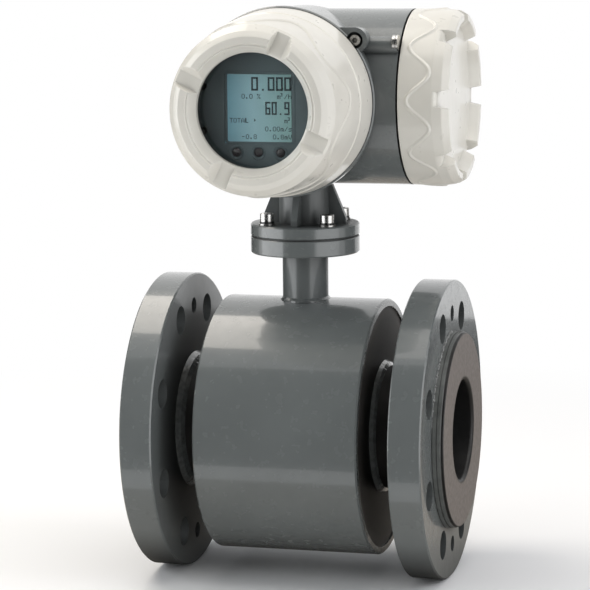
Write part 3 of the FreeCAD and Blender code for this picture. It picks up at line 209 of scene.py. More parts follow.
def enamel(name, colour, roughness, coat, peel, reach, darkest):
    """Sprayed enamel: faint tone drift and orange peel, glossy where open.

    Within reach of other surfaces it grows dull, and its colour darker as painted shade; a reach of 0
    leaves it even.
    """
    material, tree, shader = new_material(name)
    tone = mottled(tree, noise(tree, 22, 3), colour, 0.94, 1.05)
    uneven = wandering(tree, noise(tree, 160, 2), roughness * 0.85, roughness * 1.2)
    if reach > 0:
        outside = openness(tree, reach * 1.5)
        # painted shade: the tone darkens where the surface is boxed in
        tone = painted_crevice_shade(tree, tone, reach, darkest)
        uneven = mixed(tree, "MIX", outside, (0.6, 0.6, 0.6), uneven)
        coat = remapped(tree, outside, 0.0, 1.0, 0.0, coat)
    feed(tree, shader, {"Base Color": tone, "Roughness": uneven, "Coat Weight": coat,
                        "Coat Roughness": WET_COAT})
    bump(tree, shader, noise(tree, 110, 2), 0.15, peel)
    return material


def end_plate(name, colour, inner, outer):
    """Casing's end: brownish, and ever darker from its rim towards the tube as painted shade of the
    gap.
    """
    material, tree, shader = new_material(name)
    across = remapped(tree, radius_from(tree, 0), inner, outer, 0.0, 1.0)
    # painted shade: the tone falls from full at the outer radius to almost black at the inner one
    tone = shades(tree, across, colour, [(0.0, 0.03), (0.55, 0.25), (0.85, 0.7), (1.0, 1.0)])
    worn = wandering(tree, noise(tree, 60, 4), 0.85, 1.1)
    feed(tree, shader, {"Base Color": scaled(tree, tone, worn), "Roughness": 0.5})
    bump(tree, shader, noise(tree, 200, 3), 0.3, 0.2 * MM)
    return material


def stepped_ring(name, colour, foot, width):
    """Painted ring round the liner, with dark seams at its foot, its step and its rim."""
    material, tree, shader = new_material(name)
    away = add_node(tree, "ShaderNodeMath", operation="ABSOLUTE")
    feed(tree, away, {0: object_x(tree)})
    across = remapped(tree, away.outputs[0], foot, foot + width, 0.0, 1.0)
    seam = 0.12
    tone = shades(tree, across, colour, [(0.03, seam), (0.11, 1.0), (0.45, 1.0), (0.5, seam),
                                         (0.58, 1.0), (0.9, 1.0), (0.98, seam)])
    worn = wandering(tree, noise(tree, 180, 3), 0.8, 1.15)
    feed(tree, shader, {"Base Color": scaled(tree, tone, worn), "Roughness": 0.4})
    bump(tree, shader, noise(tree, 200, 3), 0.4, 0.3 * MM)
    return material


def welded(name, colour):
    """Painted weld bead or sealant: overlapping ripples, lumps and a wet gloss; its colour darkens
    near other surfaces as painted shade.
    """
    material, tree, shader = new_material(name)
    tone = mottled(tree, noise(tree, 300, 3), colour, 0.7, 1.15)
    # painted shade: darker where the bead is boxed in
    feed(tree, shader, {"Base Color": painted_crevice_shade(tree, tone, 20 * MM, 0.35), "Roughness": 0.25,
                        "Coat Weight": 0.8, "Coat Roughness": WET_COAT})
    lumps = bump(tree, shader, noise(tree, 120, 2, distortion=1.0), 0.9, 1.2 * MM)
    bump(tree, shader, noise(tree, 450, 2), 0.6, 0.4 * MM, after=lumps)
    return material


def lined(name, colour, outline, rim, mouth):
    """Rubber liner: brown grey face, partly buffed rubber and partly painted sheen; dark outlines at
    its rim and bore mouth and a blackened bore, partly black rubber and partly painted shade.
    """
    material, tree, shader = new_material(name)
    radius = radius_from(tree, 0)
    from_rim = remapped(tree, radius, rim - 0.9 * MM, rim - 0.3 * MM, 0.0, 1.0)
    from_mouth = remapped(tree, radius, mouth - 0.2 * MM, mouth + 1.2 * MM, 1.0, 0.0)
    # the face's brown grey is partly buffed rubber and partly painted sheen; the outlines and the
    # black bore are partly black rubber and partly painted shade
    tone = mottled(tree, noise(tree, 260, 4), colour, 0.82, 1.12)
    tone = mixed(tree, "MIX", from_rim, tone, outline)
    tone = mixed(tree, "MIX", from_mouth, tone, outline)
    uneven = wandering(tree, noise(tree, 400, 2), 0.42, 0.55)
    feed(tree, shader, {"Base Color": tone, "Roughness": uneven})
    bump(tree, shader, noise(tree, 1500, 3), 0.4, 0.03 * MM)
    return material


def metal(name, colour, roughness, brush):
    """Bare metal with turning or winding marks, its colour blackened in its corners as painted shade.
    """
    material, tree, shader = new_material(name)
    marks = noise(tree, 900, 3, stretch=brush)
    tone = shades(tree, marks, colour, [(0.25, 0.82), (0.75, 1.0)])
    uneven = wandering(tree, marks, roughness * 0.7, roughness * 1.3)
    # painted shade: the colour falls towards black in corners and sockets
    feed(tree, shader, {"Base Color": painted_crevice_shade(tree, tone, 4 * MM, 0.03), "Roughness": uneven,
                        "Metallic": 1.0})
    bump(tree, shader, marks, 0.2, 0.02 * MM)
    return material


def moulded(name, colour, roughness, grain):
    """Moulded plastic or rubber with a fine grain."""
    material, tree, shader = new_material(name)
    tone = mottled(tree, noise(tree, 60, 4), colour, 0.85, 1.12)
    uneven = wandering(tree, noise(tree, 400, 2), roughness * 0.85, roughness * 1.1)
    feed(tree, shader, {"Base Color": tone, "Roughness": uneven})
    bump(tree, shader, noise(tree, 2500, 3), 0.3, grain)
    return material


def sunk_panel(name, colour, dark_side, light_side):
    """Matt moulded panel behind the glass, shaded on its left by the cover."""
    material, tree, shader = new_material(name)
    tone = mottled(tree, noise(tree, 60, 4), colour, 0.9, 1.1)
    shaded = remapped(tree, object_x(tree), dark_side, light_side, 0.3, 1.15)
    feed(tree, shader, {"Base Color": scaled(tree, tone, shaded), "Roughness": 0.5})
    bump(tree, shader, noise(tree, 2500, 3), 0.3, 0.02 * MM)
    return material


def lit_screen(name, left, middle, right, half_width):
    """Pale liquid-crystal screen, bluer on its left and greener on its right."""
    material, tree, shader = new_material(name)
    across = remapped(tree, object_x(tree), -half_width, half_width, 0.0, 1.0)
    cloud = wandering(tree, noise(tree, 90, 2), 0.96, 1.04)
    tone = ramp(tree, across, [(0.0, left), (0.45, middle), (1.0, right)])
    feed(tree, shader, {"Base Color": scaled(tree, tone, cloud), "Roughness": 0.4})
    return material


def clear_glass(name):
    """Flat clear glass that lets light through to the panel behind it."""
    material, tree, shader = new_material(name)
    feed(tree, shader, {"Base Color": (0.96, 0.985, 0.98), "Roughness": 0.0, "IOR": 1.5,
                        "Transmission Weight": 1.0})
    path = add_node(tree, "ShaderNodeLightPath")
    passing = add_node(tree, "ShaderNodeBsdfTransparent")
    mix = add_node(tree, "ShaderNodeMixShader")
    feed(tree, mix, {"Fac": path.outputs["Is Shadow Ray"], 1: shader.outputs[0],
                     2: passing.outputs[0]})
    feed(tree, tree.nodes["Material Output"], {"Surface": mix.outputs[0]})
    return material


RING_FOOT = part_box("outlet_flange")[1][0]
RING_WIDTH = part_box("outlet_liner_ring")[1][0] - RING_FOOT
LINER_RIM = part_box("tube_liner")[1][1]
LINER_MOUTH = 32.5 * MM
CASING_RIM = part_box("coil_shell")[1][1]

GREY = (0.128, 0.140, 0.139)
BLACK_EDGE = (0.006, 0.006, 0.006)
EVEN = (1, 1, 1)
GLOSSY = {"roughness": 0.24, "coat": 0.7, "peel": 0.1 * MM}

# reach and darkest give how far the painted shade in crevices reaches and how dark it gets
MATERIALS = {
    "body_paint": enamel("body_enamel", GREY, reach=40 * MM, darkest=0.30, **GLOSSY),
    "head_paint": enamel("head_enamel", GREY, reach=30 * MM, darkest=0.35, **GLOSSY),
    "shell_paint": enamel("shell_enamel", GREY, reach=0, darkest=1, **GLOSSY),
    # painted shade: the measuring tube in the gap gets a darker brownish grey than the body paint,
    # darkened almost to black near other surfaces
    "gap_shade_paint": enamel("gap_shade_enamel", (0.105, 0.098, 0.092), roughness=0.45, coat=0.0,
                        peel=0.1 * MM, reach=70 * MM, darkest=0.03),
    "cover_paint": enamel("cover_enamel", (0.68, 0.66, 0.60), roughness=0.32, coat=0.5,
                          peel=0.05 * MM, reach=6 * MM, darkest=0.55),
    "end_shade_paint": end_plate("end_shade_enamel", (0.20, 0.182, 0.165), inner=52 * MM,
                           outer=CASING_RIM - 0.5 * MM),
    "ring_paint": stepped_ring("ring_enamel", (0.125, 0.132, 0.126), RING_FOOT, RING_WIDTH),
    "weld": welded("weld_enamel", (0.12, 0.13, 0.128)),
    "smear": welded("sealant_smear", (0.20, 0.205, 0.20)),
    "liner_rubber": lined("liner_rubber", (0.15, 0.13, 0.118), BLACK_EDGE, LINER_RIM, LINER_MOUTH),
    "stainless": metal("bright_stainless", (0.66, 0.65, 0.63), 0.28, brush=(1, 1, 6)),
    "dark_steel": metal("dark_steel", (0.10, 0.10, 0.10), 0.4, brush=EVEN),
    "magnet_steel": metal("magnet_steel", (0.3, 0.3, 0.3), 0.45, brush=EVEN),
    "anodised": metal("black_anodised", (0.03, 0.03, 0.03), 0.35, brush=(1, 8, 1)),
    "copper": metal("copper_winding", (0.6, 0.25, 0.1), 0.35, brush=(1, 1, 30)),
    "black_rubber": moulded("seal_rubber", (0.012, 0.012, 0.012), 0.5, grain=0.03 * MM),
    "key_lens": moulded("key_lens", (0.012, 0.006, 0.008), 0.2, grain=0.005 * MM),
    "board": moulded("circuit_board", (0.02, 0.12, 0.05), 0.4, grain=0.01 * MM),
    "insulator": moulded("insulator", (0.12, 0.12, 0.13), 0.5, grain=0.02 * MM),
    "gland_plastic": moulded("gland_nylon", (0.016, 0.016, 0.017), 0.42, grain=0.02 * MM),
    "ink": moulded("screen_ink", (0.001, 0.018, 0.026), 0.4, grain=0.002 * MM),
    "panel_plastic": sunk_panel("panel_bezel", (0.070, 0.100, 0.108),
                                dark_side=-34 * MM, light_side=8 * MM),
    "screen": lit_screen("lcd_screen", (0.13, 0.31, 0.39), (0.30, 0.49, 0.54),
                         (0.25, 0.43, 0.42), half_width=20 * MM),
    "window": clear_glass("window_glass"),
}

# Nodes that look otherwise than their slot's material.
FINISHES = {
    "coil_shell": "shell_paint",
    "inlet_end_plate": "end_shade_paint",
    "outlet_end_plate": "end_shade_paint",
    "inlet_liner_ring": "ring_paint",
    "outlet_liner_ring": "ring_paint",
    "measuring_tube": "gap_shade_paint",
    "neck_flange": "head_paint",
    "neck_pipe": "head_paint",
    "transmitter_housing": "head_paint",
    "spring_washers": "dark_steel",
    "weld_beads": "weld",
}


def dress_nodes():
    """Gives each carried-over CAD node its own finish or the material of its slot."""
    slots = {part["node"]: part["material_slot"] for part in frame["record"]["subparts"]}
    for name, piece in frame["nodes"].items():
        finish = FINISHES.get(name, slots[name])
        piece.data.materials.clear()
        piece.data.materials.append(MATERIALS[finish])


# --- mesh helpers -------------------------------------------------------------------------

ARC_STEPS = 4
CREASE_DEGREES = 35


def smoothed(t):
    """Smooth step from 0 to 1."""
    t = min(1.0, max(0.0, t))
    return t * t * (3 - 2 * t)


def rounded_outline(corners):
    """Closed outline of (along, radius) with each (along, radius, rounding) corner as an arc."""
    outline = []
    count = len(corners)
    for index in range(count):
        along, radius, rounding = corners[index]
        here = Vector((along, radius))
        if rounding == 0:
            outline.append(here)
            continue
        to_last = (Vector(corners[index - 1][:2]) - here).normalized()
        to_next = (Vector(corners[(index + 1) % count][:2]) - here).normalized()
        half = to_last.angle(to_next) / 2
        reach = rounding / math.tan(half)
        centre = here + (to_last + to_next).normalized() * (rounding / math.sin(half))
        start = here + to_last * reach - centre
        end = here + to_next * reach - centre
        sweep = start.angle_signed(end)
        for step in range(ARC_STEPS + 1):
            turn = Matrix.Rotation(-sweep * step / ARC_STEPS, 2)
            outline.append(centre + turn @ start)
    return outline


def refined(outline, longest):
    """The outline with its long stretches cut into shorter ones."""
    points = []
    for index, here in enumerate(outline):
        following = outline[(index + 1) % len(outline)]
        pieces = max(1, math.ceil((following - here).length / longest))
        points += [here.lerp(following, piece / pieces) for piece in range(pieces)]
    return points


def millimetres(corners):
    return [(along * MM, radius * MM, rounding * MM) for along, radius, rounding in corners]


def grid_faces(columns, rows, columns_close, rows_close):
    """Quads over columns of points, which may close round in either direction."""
    faces = []
    for column in range(columns if columns_close else columns - 1):
        near = column * rows
        far = (column + 1) % columns * rows
        for row in range(rows if rows_close else rows - 1):
            above = (row + 1) % rows
            faces.append((near + row, near + above, far + above, far + row))
    return faces


def lathe(outline, degrees, place, shape):
    """Closed surface of revolution; shape moves each (along, radius) at each angle."""
    vertices = []
    for angle in degrees:
        for point in outline:
            along, radius = shape(point.x, point.y, angle)
            vertices.append(place(along, radius, angle))
    return vertices, grid_faces(len(degrees), len(outline), True, True)


def turned(profile, sides, place):
    """Open surface of revolution of a few (along, radius) pairs, for small round pieces."""
    vertices = []
    for along, radius in profile:
        for step in range(sides):
            angle = 2 * math.pi * step / sides
            vertices.append(place(along, radius * math.cos(angle), radius * math.sin(angle)))
    return vertices, grid_faces(len(profile), sides, False, True)


def join_parts(*parts):
    """One list of vertices and one of faces from several."""
    vertices, faces = [], []
    for more_vertices, more_faces in parts:
        shift = len(vertices)
        vertices += more_vertices
        faces += [tuple(corner + shift for corner in face) for face in more_faces]
    return vertices, faces


def add_piece(name, parts, body, finish, replaced=()):
    """Mesh object from (vertices, faces) parts, with its body and finish; the nodes it replaces are
    hidden.
    """
    vertices, faces = join_parts(*parts)
    mesh = bpy.data.meshes.new(name)
    mesh.from_pydata(vertices, [], faces)
    work = bmesh.new()
    work.from_mesh(mesh)
    bmesh.ops.remove_doubles(work, verts=work.verts, dist=1e-7)
    bmesh.ops.recalc_face_normals(work, faces=work.faces)
    work.to_mesh(mesh)
    work.free()
    mesh.shade_smooth()
    mesh.set_sharp_from_angle(angle=math.radians(CREASE_DEGREES))
    mesh.materials.append(MATERIALS[finish])
    piece = bpy.data.objects.new(name, mesh)
    bpy.context.collection.objects.link(piece)
    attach(piece, body)
    if replaced:
        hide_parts(*replaced)
    return piece


# --- covers -------------------------------------------------------------------------------

def middle(node, axis):
    low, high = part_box(node)
    return (low[axis] + high[axis]) / 2


DISPLAY_X = middle("window_glass", 0)
HEAD_Z = middle("window_glass", 2)
DISPLAY_REAR_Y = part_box("display_cover")[1][1]
DISPLAY_LENGTH = DISPLAY_REAR_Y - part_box("display_cover")[0][1]
TERMINAL_REAR_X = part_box("terminal_cover")[0][0]
TERMINAL_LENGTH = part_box("terminal_cover")[1][0] - TERMINAL_REAR_X


def on_display(along, radius, degrees):
    """Point of the display cover: along its axis to the front, angle from +X upwards."""
    angle = math.radians(degrees)
    across = radius * math.cos(angle)
    up = radius * math.sin(angle)
    return Vector((DISPLAY_X + across, DISPLAY_REAR_Y - along, HEAD_Z + up))


def on_terminal(along, radius, degrees):
    """Point of the terminal cover: along its axis to the right, angle from +Y upwards."""
    angle = math.radians(degrees)
    across = radius * math.cos(angle)
    up = radius * math.sin(angle)
    return Vector((TERMINAL_REAR_X + along, across, HEAD_Z + up))


def notch_angles(count, first, near, far):
    """Angles round a cover, closer together where the notch walls cross the ring."""
    coarse, fine = 2.0, 0.3
    angles = {round(index * coarse, 3) for index in range(int(360 / coarse))}
    for index in range(count):
        notch = first + index * 360 / count
        for side in (-1, 1):
            for step in range(int((far - near) / fine) + 1):
                angles.add(round((notch + side * (near + step * fine)) % 360, 3))
    return sorted(angles)


def notched(count, first, base, inner, floor, mouth, top):
    """Shape that presses the front ring to the base surface between two sloping walls.

    Floor and mouth give where the two walls start and end, measured across the notch; first is
    the angle of one notch in degrees.
    """
    pitch = 360 / count

    def shape(along, radius, degrees):
        foot = base(radius)
        if along <= foot or radius < inner:
            return along, radius
        offset = (degrees - first + pitch / 2) % pitch - pitch / 2
        across = radius * math.sin(math.radians(offset))
        side = 1 if across > 0 else 0
        share = (across - floor[side]) / (mouth[side] - floor[side])
        rise = 0.6 * min(1.0, max(0.0, share)) + 0.4 * smoothed(share)
        if rise < 1:
            along = min(along, foot + (top - foot) * rise)
        return along, radius

    return shape


def wave_bead(place, radius_at, centre, swing, waves, phase, width, height, steps):
    """Soft raised line that waves along the axis while it goes round a cover."""
    profile = 8
    sunk = 0.02 * MM
    sections = waves * steps
    vertices = []
    for index in range(sections):
        degrees = phase + 360 * index / sections
        turn = math.radians(waves * (degrees - phase))
        along = centre - swing * math.cos(turn)
        slope = swing * waves * math.sin(turn) / radius_at(along)
        length = math.hypot(1, slope)
        for step in range(profile + 1):
            share = step / profile - 0.5
            offset = share * width
            shifted = along + offset / length
            twisted = degrees - math.degrees(offset * slope / length / radius_at(along))
            lift = height * (0.5 + 0.5 * math.cos(2 * math.pi * share)) - sunk
            vertices.append(place(shifted, radius_at(shifted) + lift, twisted))
    return vertices, grid_faces(sections, profile + 1, True, False)


def add_display_cover():
    """Window cover: skirt with a crease, ring with four lopsided notches, funnel and wavy bead."""
    front = DISPLAY_LENGTH / MM
    window_radius, notch_foot = 33.5, 63.8
    notches, first_notch = 4, 64
    skirt = [(0, 56.2, 0.6), (21.2, 54.55, 0.25), (21.9, 54.0, 0.25), (62.5, 49.7, 1.2)]
    ring = [(66.8, 46.0, 0.8), (front, 42.8, 0.8), (front, 38.9, 0.5)]
    lip = [(68.3, 38.2, 0.3), (68.7, 37.3, 0.3)]
    funnel = [(63.2, window_radius, 0.3), (59.7, window_radius, 0)]
    inside = [(59.7, 38.4, 0), (52.9, 38.4, 0), (52.9, 41.05, 0), (49.7, 41.05, 0),
              (49.7, 46.6, 0), (17.5, 51.3, 0), (3.0, 51.3, 0), (3.0, 54.0, 0), (0, 54.0, 0.3)]
    outline = rounded_outline(millimetres(skirt + ring + lip + funnel + inside))
    shape = notched(notches, first_notch, base=lambda _radius: notch_foot * MM,
                    inner=(window_radius + 0.4) * MM, floor=(-2.9 * MM, 5.3 * MM),
                    mouth=(-7.4 * MM, 6.5 * MM), top=DISPLAY_LENGTH)
    angles = notch_angles(notches, first_notch, near=2.5, far=12.5)
    shell = lathe(refined(outline, 2.5 * MM), angles, on_display, shape)

    def cone(along):
        """Radius of the skirt between its crease and the ring."""
        crease, crease_radius = 21.5, 54.2
        ring_foot, ring_radius = 62.5, 49.7
        share = (along / MM - crease) / (ring_foot - crease)
        return (crease_radius + (ring_radius - crease_radius) * share) * MM

    bead = wave_bead(on_display, cone, centre=46.5 * MM, swing=9.3 * MM, waves=6, phase=7.5,
                     width=3.4 * MM, height=0.8 * MM, steps=64)
    add_piece("display_cover_casting", (shell, bead), "display_cap", "cover_paint",
              ("display_cover",))


def add_terminal_cover():
    """Blind cover: short cylinder with a wavy bead, rounded edge, flat floor and eight teeth."""
    front = TERMINAL_LENGTH / MM
    floor_depth, floor_edge, edge_rounding = 23.9, 49.4, 4.0
    notches, first_notch = 8, -2.8
    skirt = [(0, 53.5, 0.4), (20.5, 53.4, 2.0), (26.2, 52.6, 2.6), (front, 50.2, 1.0)]
    teeth = [(front, 46.3, 0.9), (floor_depth, 43.0, 0.5), (floor_depth, 0.02, 0)]
    inside = [(18.0, 0.02, 0), (18.0, 44.5, 0), (17.5, 48.8, 0), (3.0, 48.8, 0),
              (3.0, 51.5, 0), (0, 51.5, 0.3)]
    outline = rounded_outline(millimetres(skirt + teeth + inside))

    def base(radius):
        """Flat floor with a rounded edge, as it shows in the notches."""
        over = max(0.0, radius / MM - floor_edge)
        drop = edge_rounding - math.sqrt(max(0.0, edge_rounding ** 2 - over ** 2))
        return (floor_depth - drop) * MM

    shape = notched(notches, first_notch, base, inner=42.9 * MM, floor=(-4.4 * MM, 4.4 * MM),
                    mouth=(-5.9 * MM, 5.9 * MM), top=TERMINAL_LENGTH)
    angles = notch_angles(notches, first_notch, near=4.0, far=8.5)
    shell = lathe(refined(outline, 1.5 * MM), angles, on_terminal, shape)
    bead = wave_bead(on_terminal, lambda _along: 53.45 * MM, centre=12.0 * MM, swing=6.7 * MM,
                     waves=10, phase=-1.6, width=3.0 * MM, height=0.75 * MM, steps=48)
    add_piece("terminal_cover_casting", (shell, bead), "terminal_cap", "cover_paint",
              ("terminal_cover",))


# --- small pieces on the body -------------------------------------------------------------

def add_seal_smear():
    """Uneven smear of paint and sealant along the upper front of the outlet ring's foot."""
    ring_low, ring_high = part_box("outlet_liner_ring")
    ring_radius = (ring_high[2] - ring_low[2]) / 2
    profile = 6
    sections = 220
    start_degrees, sweep_degrees = 88, 92
    vertices = []
    for index in range(sections):
        wander = (0.5 * math.sin(index * 0.9) + 0.6 * math.sin(index * 0.37 + 1)
                  + 0.3 * math.sin(index * 2.1))
        fade = smoothed(index / 12) * smoothed((sections - 1 - index) / 90)
        size = max(0.05, (0.8 + 0.5 * wander) * fade) * MM
        angle = math.radians(start_degrees + sweep_degrees * index / sections)
        for step in range(profile + 1):
            turn = math.radians(90 * step / profile)
            radius = ring_radius - 0.1 * MM + size * math.cos(turn) * (1.3 + 0.2 * wander)
            along = RING_FOOT - 0.05 * MM + size * math.sin(turn)
            vertices.append(Vector((along, radius * math.cos(angle), radius * math.sin(angle))))
    faces = grid_faces(sections, profile + 1, False, False)
    add_piece("outlet_seal_smear", [(vertices, faces)], "meter", "smear")


def add_lock_bolt():
    """Bright head of the terminal cover's locking bolt, between the boss and the cover."""
    centre_y = -45.146 * MM
    centre_z = HEAD_Z + 35.354 * MM
    profile = [(-4.3, 0.0), (-4.3, 4.0), (-3.9, 4.5), (-2.2, 4.5), (-2.2, 3.9), (-1.9, 3.9),
               (-1.9, 4.6), (-0.7, 4.6), (-0.7, 0.0)]

    def place(along, across, up):
        return Vector((TERMINAL_REAR_X + along * MM, centre_y + across * MM, centre_z + up * MM))

    head = turned(profile, 24, place)
    add_piece("terminal_lock_bolt", [head], "meter", "stainless")


# --- screen and keys ----------------------------------------------------------------------

GLYPHS = {
    "0": "01110 10001 10001 10001 10001 10001 01110", "8": "01110 10001 10001 01110 10001 10001 01110",
    ".": "00000 00000 00000 00000 00000 01100 01100", "-": "00000 00000 00000 11110 00000 00000 00000",
    "%": "11001 11010 00010 00100 01000 01011 10011", "/": "00001 00010 00010 00100 01000 01000 10000",
    "m": "00000 00000 11110 10101 10101 10101 10101", "h": "10000 10000 10110 11001 10001 10001 10001",
    "3": "11100 00100 01100 00100 11100 00000 00000", "s": "00000 00000 01111 10000 01110 00001 11110",
    "V": "10001 10001 10001 10001 01010 01010 00100", "T": "11111 00100 00100 00100 00100 00100 00100",
    "O": "01110 10001 10001 10001 10001 10001 01110", "A": "00100 01010 10001 10001 11111 10001 10001",
    "L": "11000 11000 11000 11000 11000 11000 11111", ":": "00000 00100 00110 00110 00100 00000 00000",
}
GLYPH_PITCH = 6
TALL_BARS = {"0": "abcdef", "6": "acdefg", "9": "abcdfg"}

# Text with its right end and its top, in millimetres from the screen's upper left corner.
SMALL_TEXTS = (
    ("0.0 %", 21.0, 11.3), ("m", 33.0, 11.3), ("3", 35.0, 10.6), ("/h", 39.6, 11.3),
    ("TOTAL", 13.6, 25.3), (":", 18.3, 25.3), ("m", 37.2, 25.3), ("3", 39.2, 24.6),
    ("0.00m/s", 39.6, 30.1), ("-0.8", 18.6, 34.7), ("0.8mV", 39.6, 34.7),
)
# The same, and then the digits' width, height, pitch and stroke.
TALL_TEXTS = (
    ("0.000", 39.1, 1.5, 4.1, 7.9, 4.95, 1.1),
    ("60.9", 38.0, 15.8, 3.1, 7.5, 3.8, 0.95),
)
# Dots, screen and keys in millimetres; the corner and the height are from the display's axis.
DOT = 0.39
INK = 0.42
INK_LIFT = 0.06
SCREEN_LEFT = -19.1
SCREEN_TOP = 20.0
KEY_HEIGHT = -25.3
KEY_PITCH = 13.3
SCREEN_FACE_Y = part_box("lcd_module")[0][1]
PANEL_FACE_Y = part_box("display_panel")[0][1]


def on_panel(face_y, right, up, lift):
    """Point over a face: right and up of the display's axis, and lifted to the front, in mm."""
    return Vector((DISPLAY_X + right * MM, face_y - lift * MM, HEAD_Z + up * MM))


def ink_cell(u, v, width, height):
    """Rectangle of ink: u to the right and v downwards from the screen's upper left corner."""
    corners = [(u, v), (u + width, v), (u + width, v + height), (u, v + height)]
    vertices = [on_panel(SCREEN_FACE_Y, SCREEN_LEFT + right, SCREEN_TOP - down, INK_LIFT)
                for right, down in corners]
    return vertices, [(0, 1, 2, 3)]


def small_text(text, right, top):
    """Cells of dot-matrix characters that end at the right edge."""
    cells = []
    left = right - len(text) * GLYPH_PITCH * DOT
    for index, letter in enumerate(text):
        if letter == " ":
            continue
        for row, line in enumerate(GLYPHS[letter].split()):
            for column, mark in enumerate(line):
                if mark == "1":
                    u = left + (index * GLYPH_PITCH + column) * DOT
                    cells.append(ink_cell(u, top + row * DOT, INK, INK))
    return cells


def tall_text(text, right, top, width, height, pitch, stroke):
    """Cells of tall seven-bar digits that end at the right edge."""
    cells = []
    half = height / 2
    last_column = width - stroke
    last_row = height - stroke
    bars = {"a": (0, 0, width, stroke), "b": (last_column, 0, stroke, half),
            "c": (last_column, half, stroke, half), "d": (0, last_row, width, stroke),
            "e": (0, half, stroke, half), "f": (0, 0, stroke, half),
            "g": (0, half - stroke / 2, width, stroke)}
    point = (last_column / 2, last_row, stroke, stroke)
    for index, letter in enumerate(reversed(text)):
        left = right - index * pitch - width
        shown = [point] if letter == "." else [bars[bar] for bar in TALL_BARS[letter]]
        cells += [ink_cell(left + u, top + v, wide, high) for u, v, wide, high in shown]
    return cells


def add_screen_content():
    """Generic readings: flow rate, share, total, speed and two voltages."""
    cells = []
    for line in TALL_TEXTS:
        cells += tall_text(*line)
    for line in SMALL_TEXTS:
        cells += small_text(*line)
    add_piece("screen_digits", cells, "meter", "ink")


def rounded_rectangle(left, right, bottom, top, corner):
    """Outline of a rectangle with round corners, from its lower right one and round upwards."""
    outline = []
    steps = 5
    centres = ((right, bottom, -90), (right, top, 0), (left, top, 90), (left, bottom, 180))
    for x, z, first in centres:
        centre_x = x - corner if x == right else x + corner
        centre_z = z - corner if z == top else z + corner
        for step in range(steps + 1):
            angle = math.radians(first + 90 * step / steps)
            outline.append((centre_x + corner * math.cos(angle), centre_z + corner * math.sin(angle)))
    return outline


def add_screen_frame():
    """Bevelled frame with round corners that the panel holds round the visible screen."""
    left, right, bottom, top = -18.4, 21.0, -19.0, 20.5
    rings = ((0.0, 0.12, 1.2), (0.25, 0.34, 1.45), (0.9, 0.34, 2.0), (1.6, 0.02, 2.6))
    vertices = []
    for outward, lift, corner in rings:
        outline = rounded_rectangle(left - outward, right + outward, bottom - outward,
                                    top + outward, corner)
        vertices += [on_panel(SCREEN_FACE_Y, x, z, lift) for x, z in outline]
    faces = grid_faces(len(rings), len(vertices) // len(rings), False, True)
    add_piece("screen_frame", [(vertices, faces)], "meter", "panel_plastic")


def add_keys():
    """Three optical keys: black domed lenses in shallow raised craters of the panel."""
    dome = [(1.0, 0.0), (0.93, 0.9), (0.72, 1.7), (0.4, 2.3), (-0.2, 2.65)]
    crater = [(-0.2, 2.75), (0.05, 3.0), (0.42, 3.7), (0.42, 4.0), (0.02, 4.35)]

    def turned_on_key(profile, shift):
        def place(lift, across, up):
            return on_panel(PANEL_FACE_Y, shift + across, KEY_HEIGHT + up, lift)
        return turned(profile, 32, place)

    shifts = (-KEY_PITCH, 0.0, KEY_PITCH)
    lenses = [turned_on_key(dome, shift) for shift in shifts]
    craters = [turned_on_key(crater, shift) for shift in shifts]
    add_piece("key_lenses", lenses, "meter", "key_lens", ("optical_keys",))
    add_piece("key_craters", craters, "meter", "panel_plastic")


# --- studio -------------------------------------------------------------------------------

CAMERA_AZIMUTH = math.radians(15.196)
CAMERA_ELEVATION = math.radians(8.495)
CAMERA_ROLL = math.radians(-0.582)
CAMERA_DISTANCE = 1.67041
CAMERA_TARGET = Vector((-0.00695, 0, 0.080925))
CAMERA_LENS = 163.43
SENSOR_WIDTH = 36.0

FLOOR_Z = cad_bounds[0][2] - 0.2 * MM
TABLE_Z = FLOOR_Z + 0.1 * MM

# Name, place, target, size, power, colour and whether its shape shows in gloss.
LIGHTS = (
    ("left_box", (-1.40, -0.78, 0.1), (0, 0, 0.1), (1.7, 2.4), 27, (0.96, 0.98, 1.0), True),
    ("right_box", (1.41, -0.75, 0.1), (0, 0, 0.1), (1.7, 2.4), 13, (0.98, 0.99, 1.0), True),
    ("overhead_left", (-0.75, 0.2, 1.3), (-0.75, 0.2, 0), (0.8, 1.0), 11, (1.0, 0.93, 0.84), True),
    ("overhead_right", (0.3, -0.2, 1.3), (0.3, -0.2, 0), (1.2, 0.9), 4.5, (1.0, 0.95, 0.88), True),
    ("sky", (0.2, 0.9, 1.8), (0, 0, 0.1), (2.4, 2.4), 9, (0.96, 0.97, 1.0), False),
    ("side", (1.5, -0.1, 0.9), (0, 0, 0.2), (1.0, 1.0), 8, (0.94, 0.94, 1.0), False),
)

# Name, place, size, direction that it faces and colour of what the gloss reflects.
REFLECTED_CARDS = (
    ("dark_wall", (0.2, -2.4, 1.3), (3.4, 5.4), (0, 1, 0), (0.03, 0.035, 0.035)),
    ("dark_back", (0.62, 1.6, -0.65), (0.95, 0.92), (0, -1, 0), (0.05, 0.05, 0.05)),
    ("dark_right", (1.75, 1.25, 0.5), (1.5, 3.2), (-0.8, -0.6, 0), (0.03, 0.03, 0.03)),
    ("dark_left", (-1.87, 1.17, 0.3), (1.8, 2.6), (0.85, -0.53, 0), (0.03, 0.03, 0.03)),
    ("table_top", (0, 0.23, TABLE_Z), (2.4, 0.76), (0, 0, 1), (0.36, 0.33, 0.29)),
)


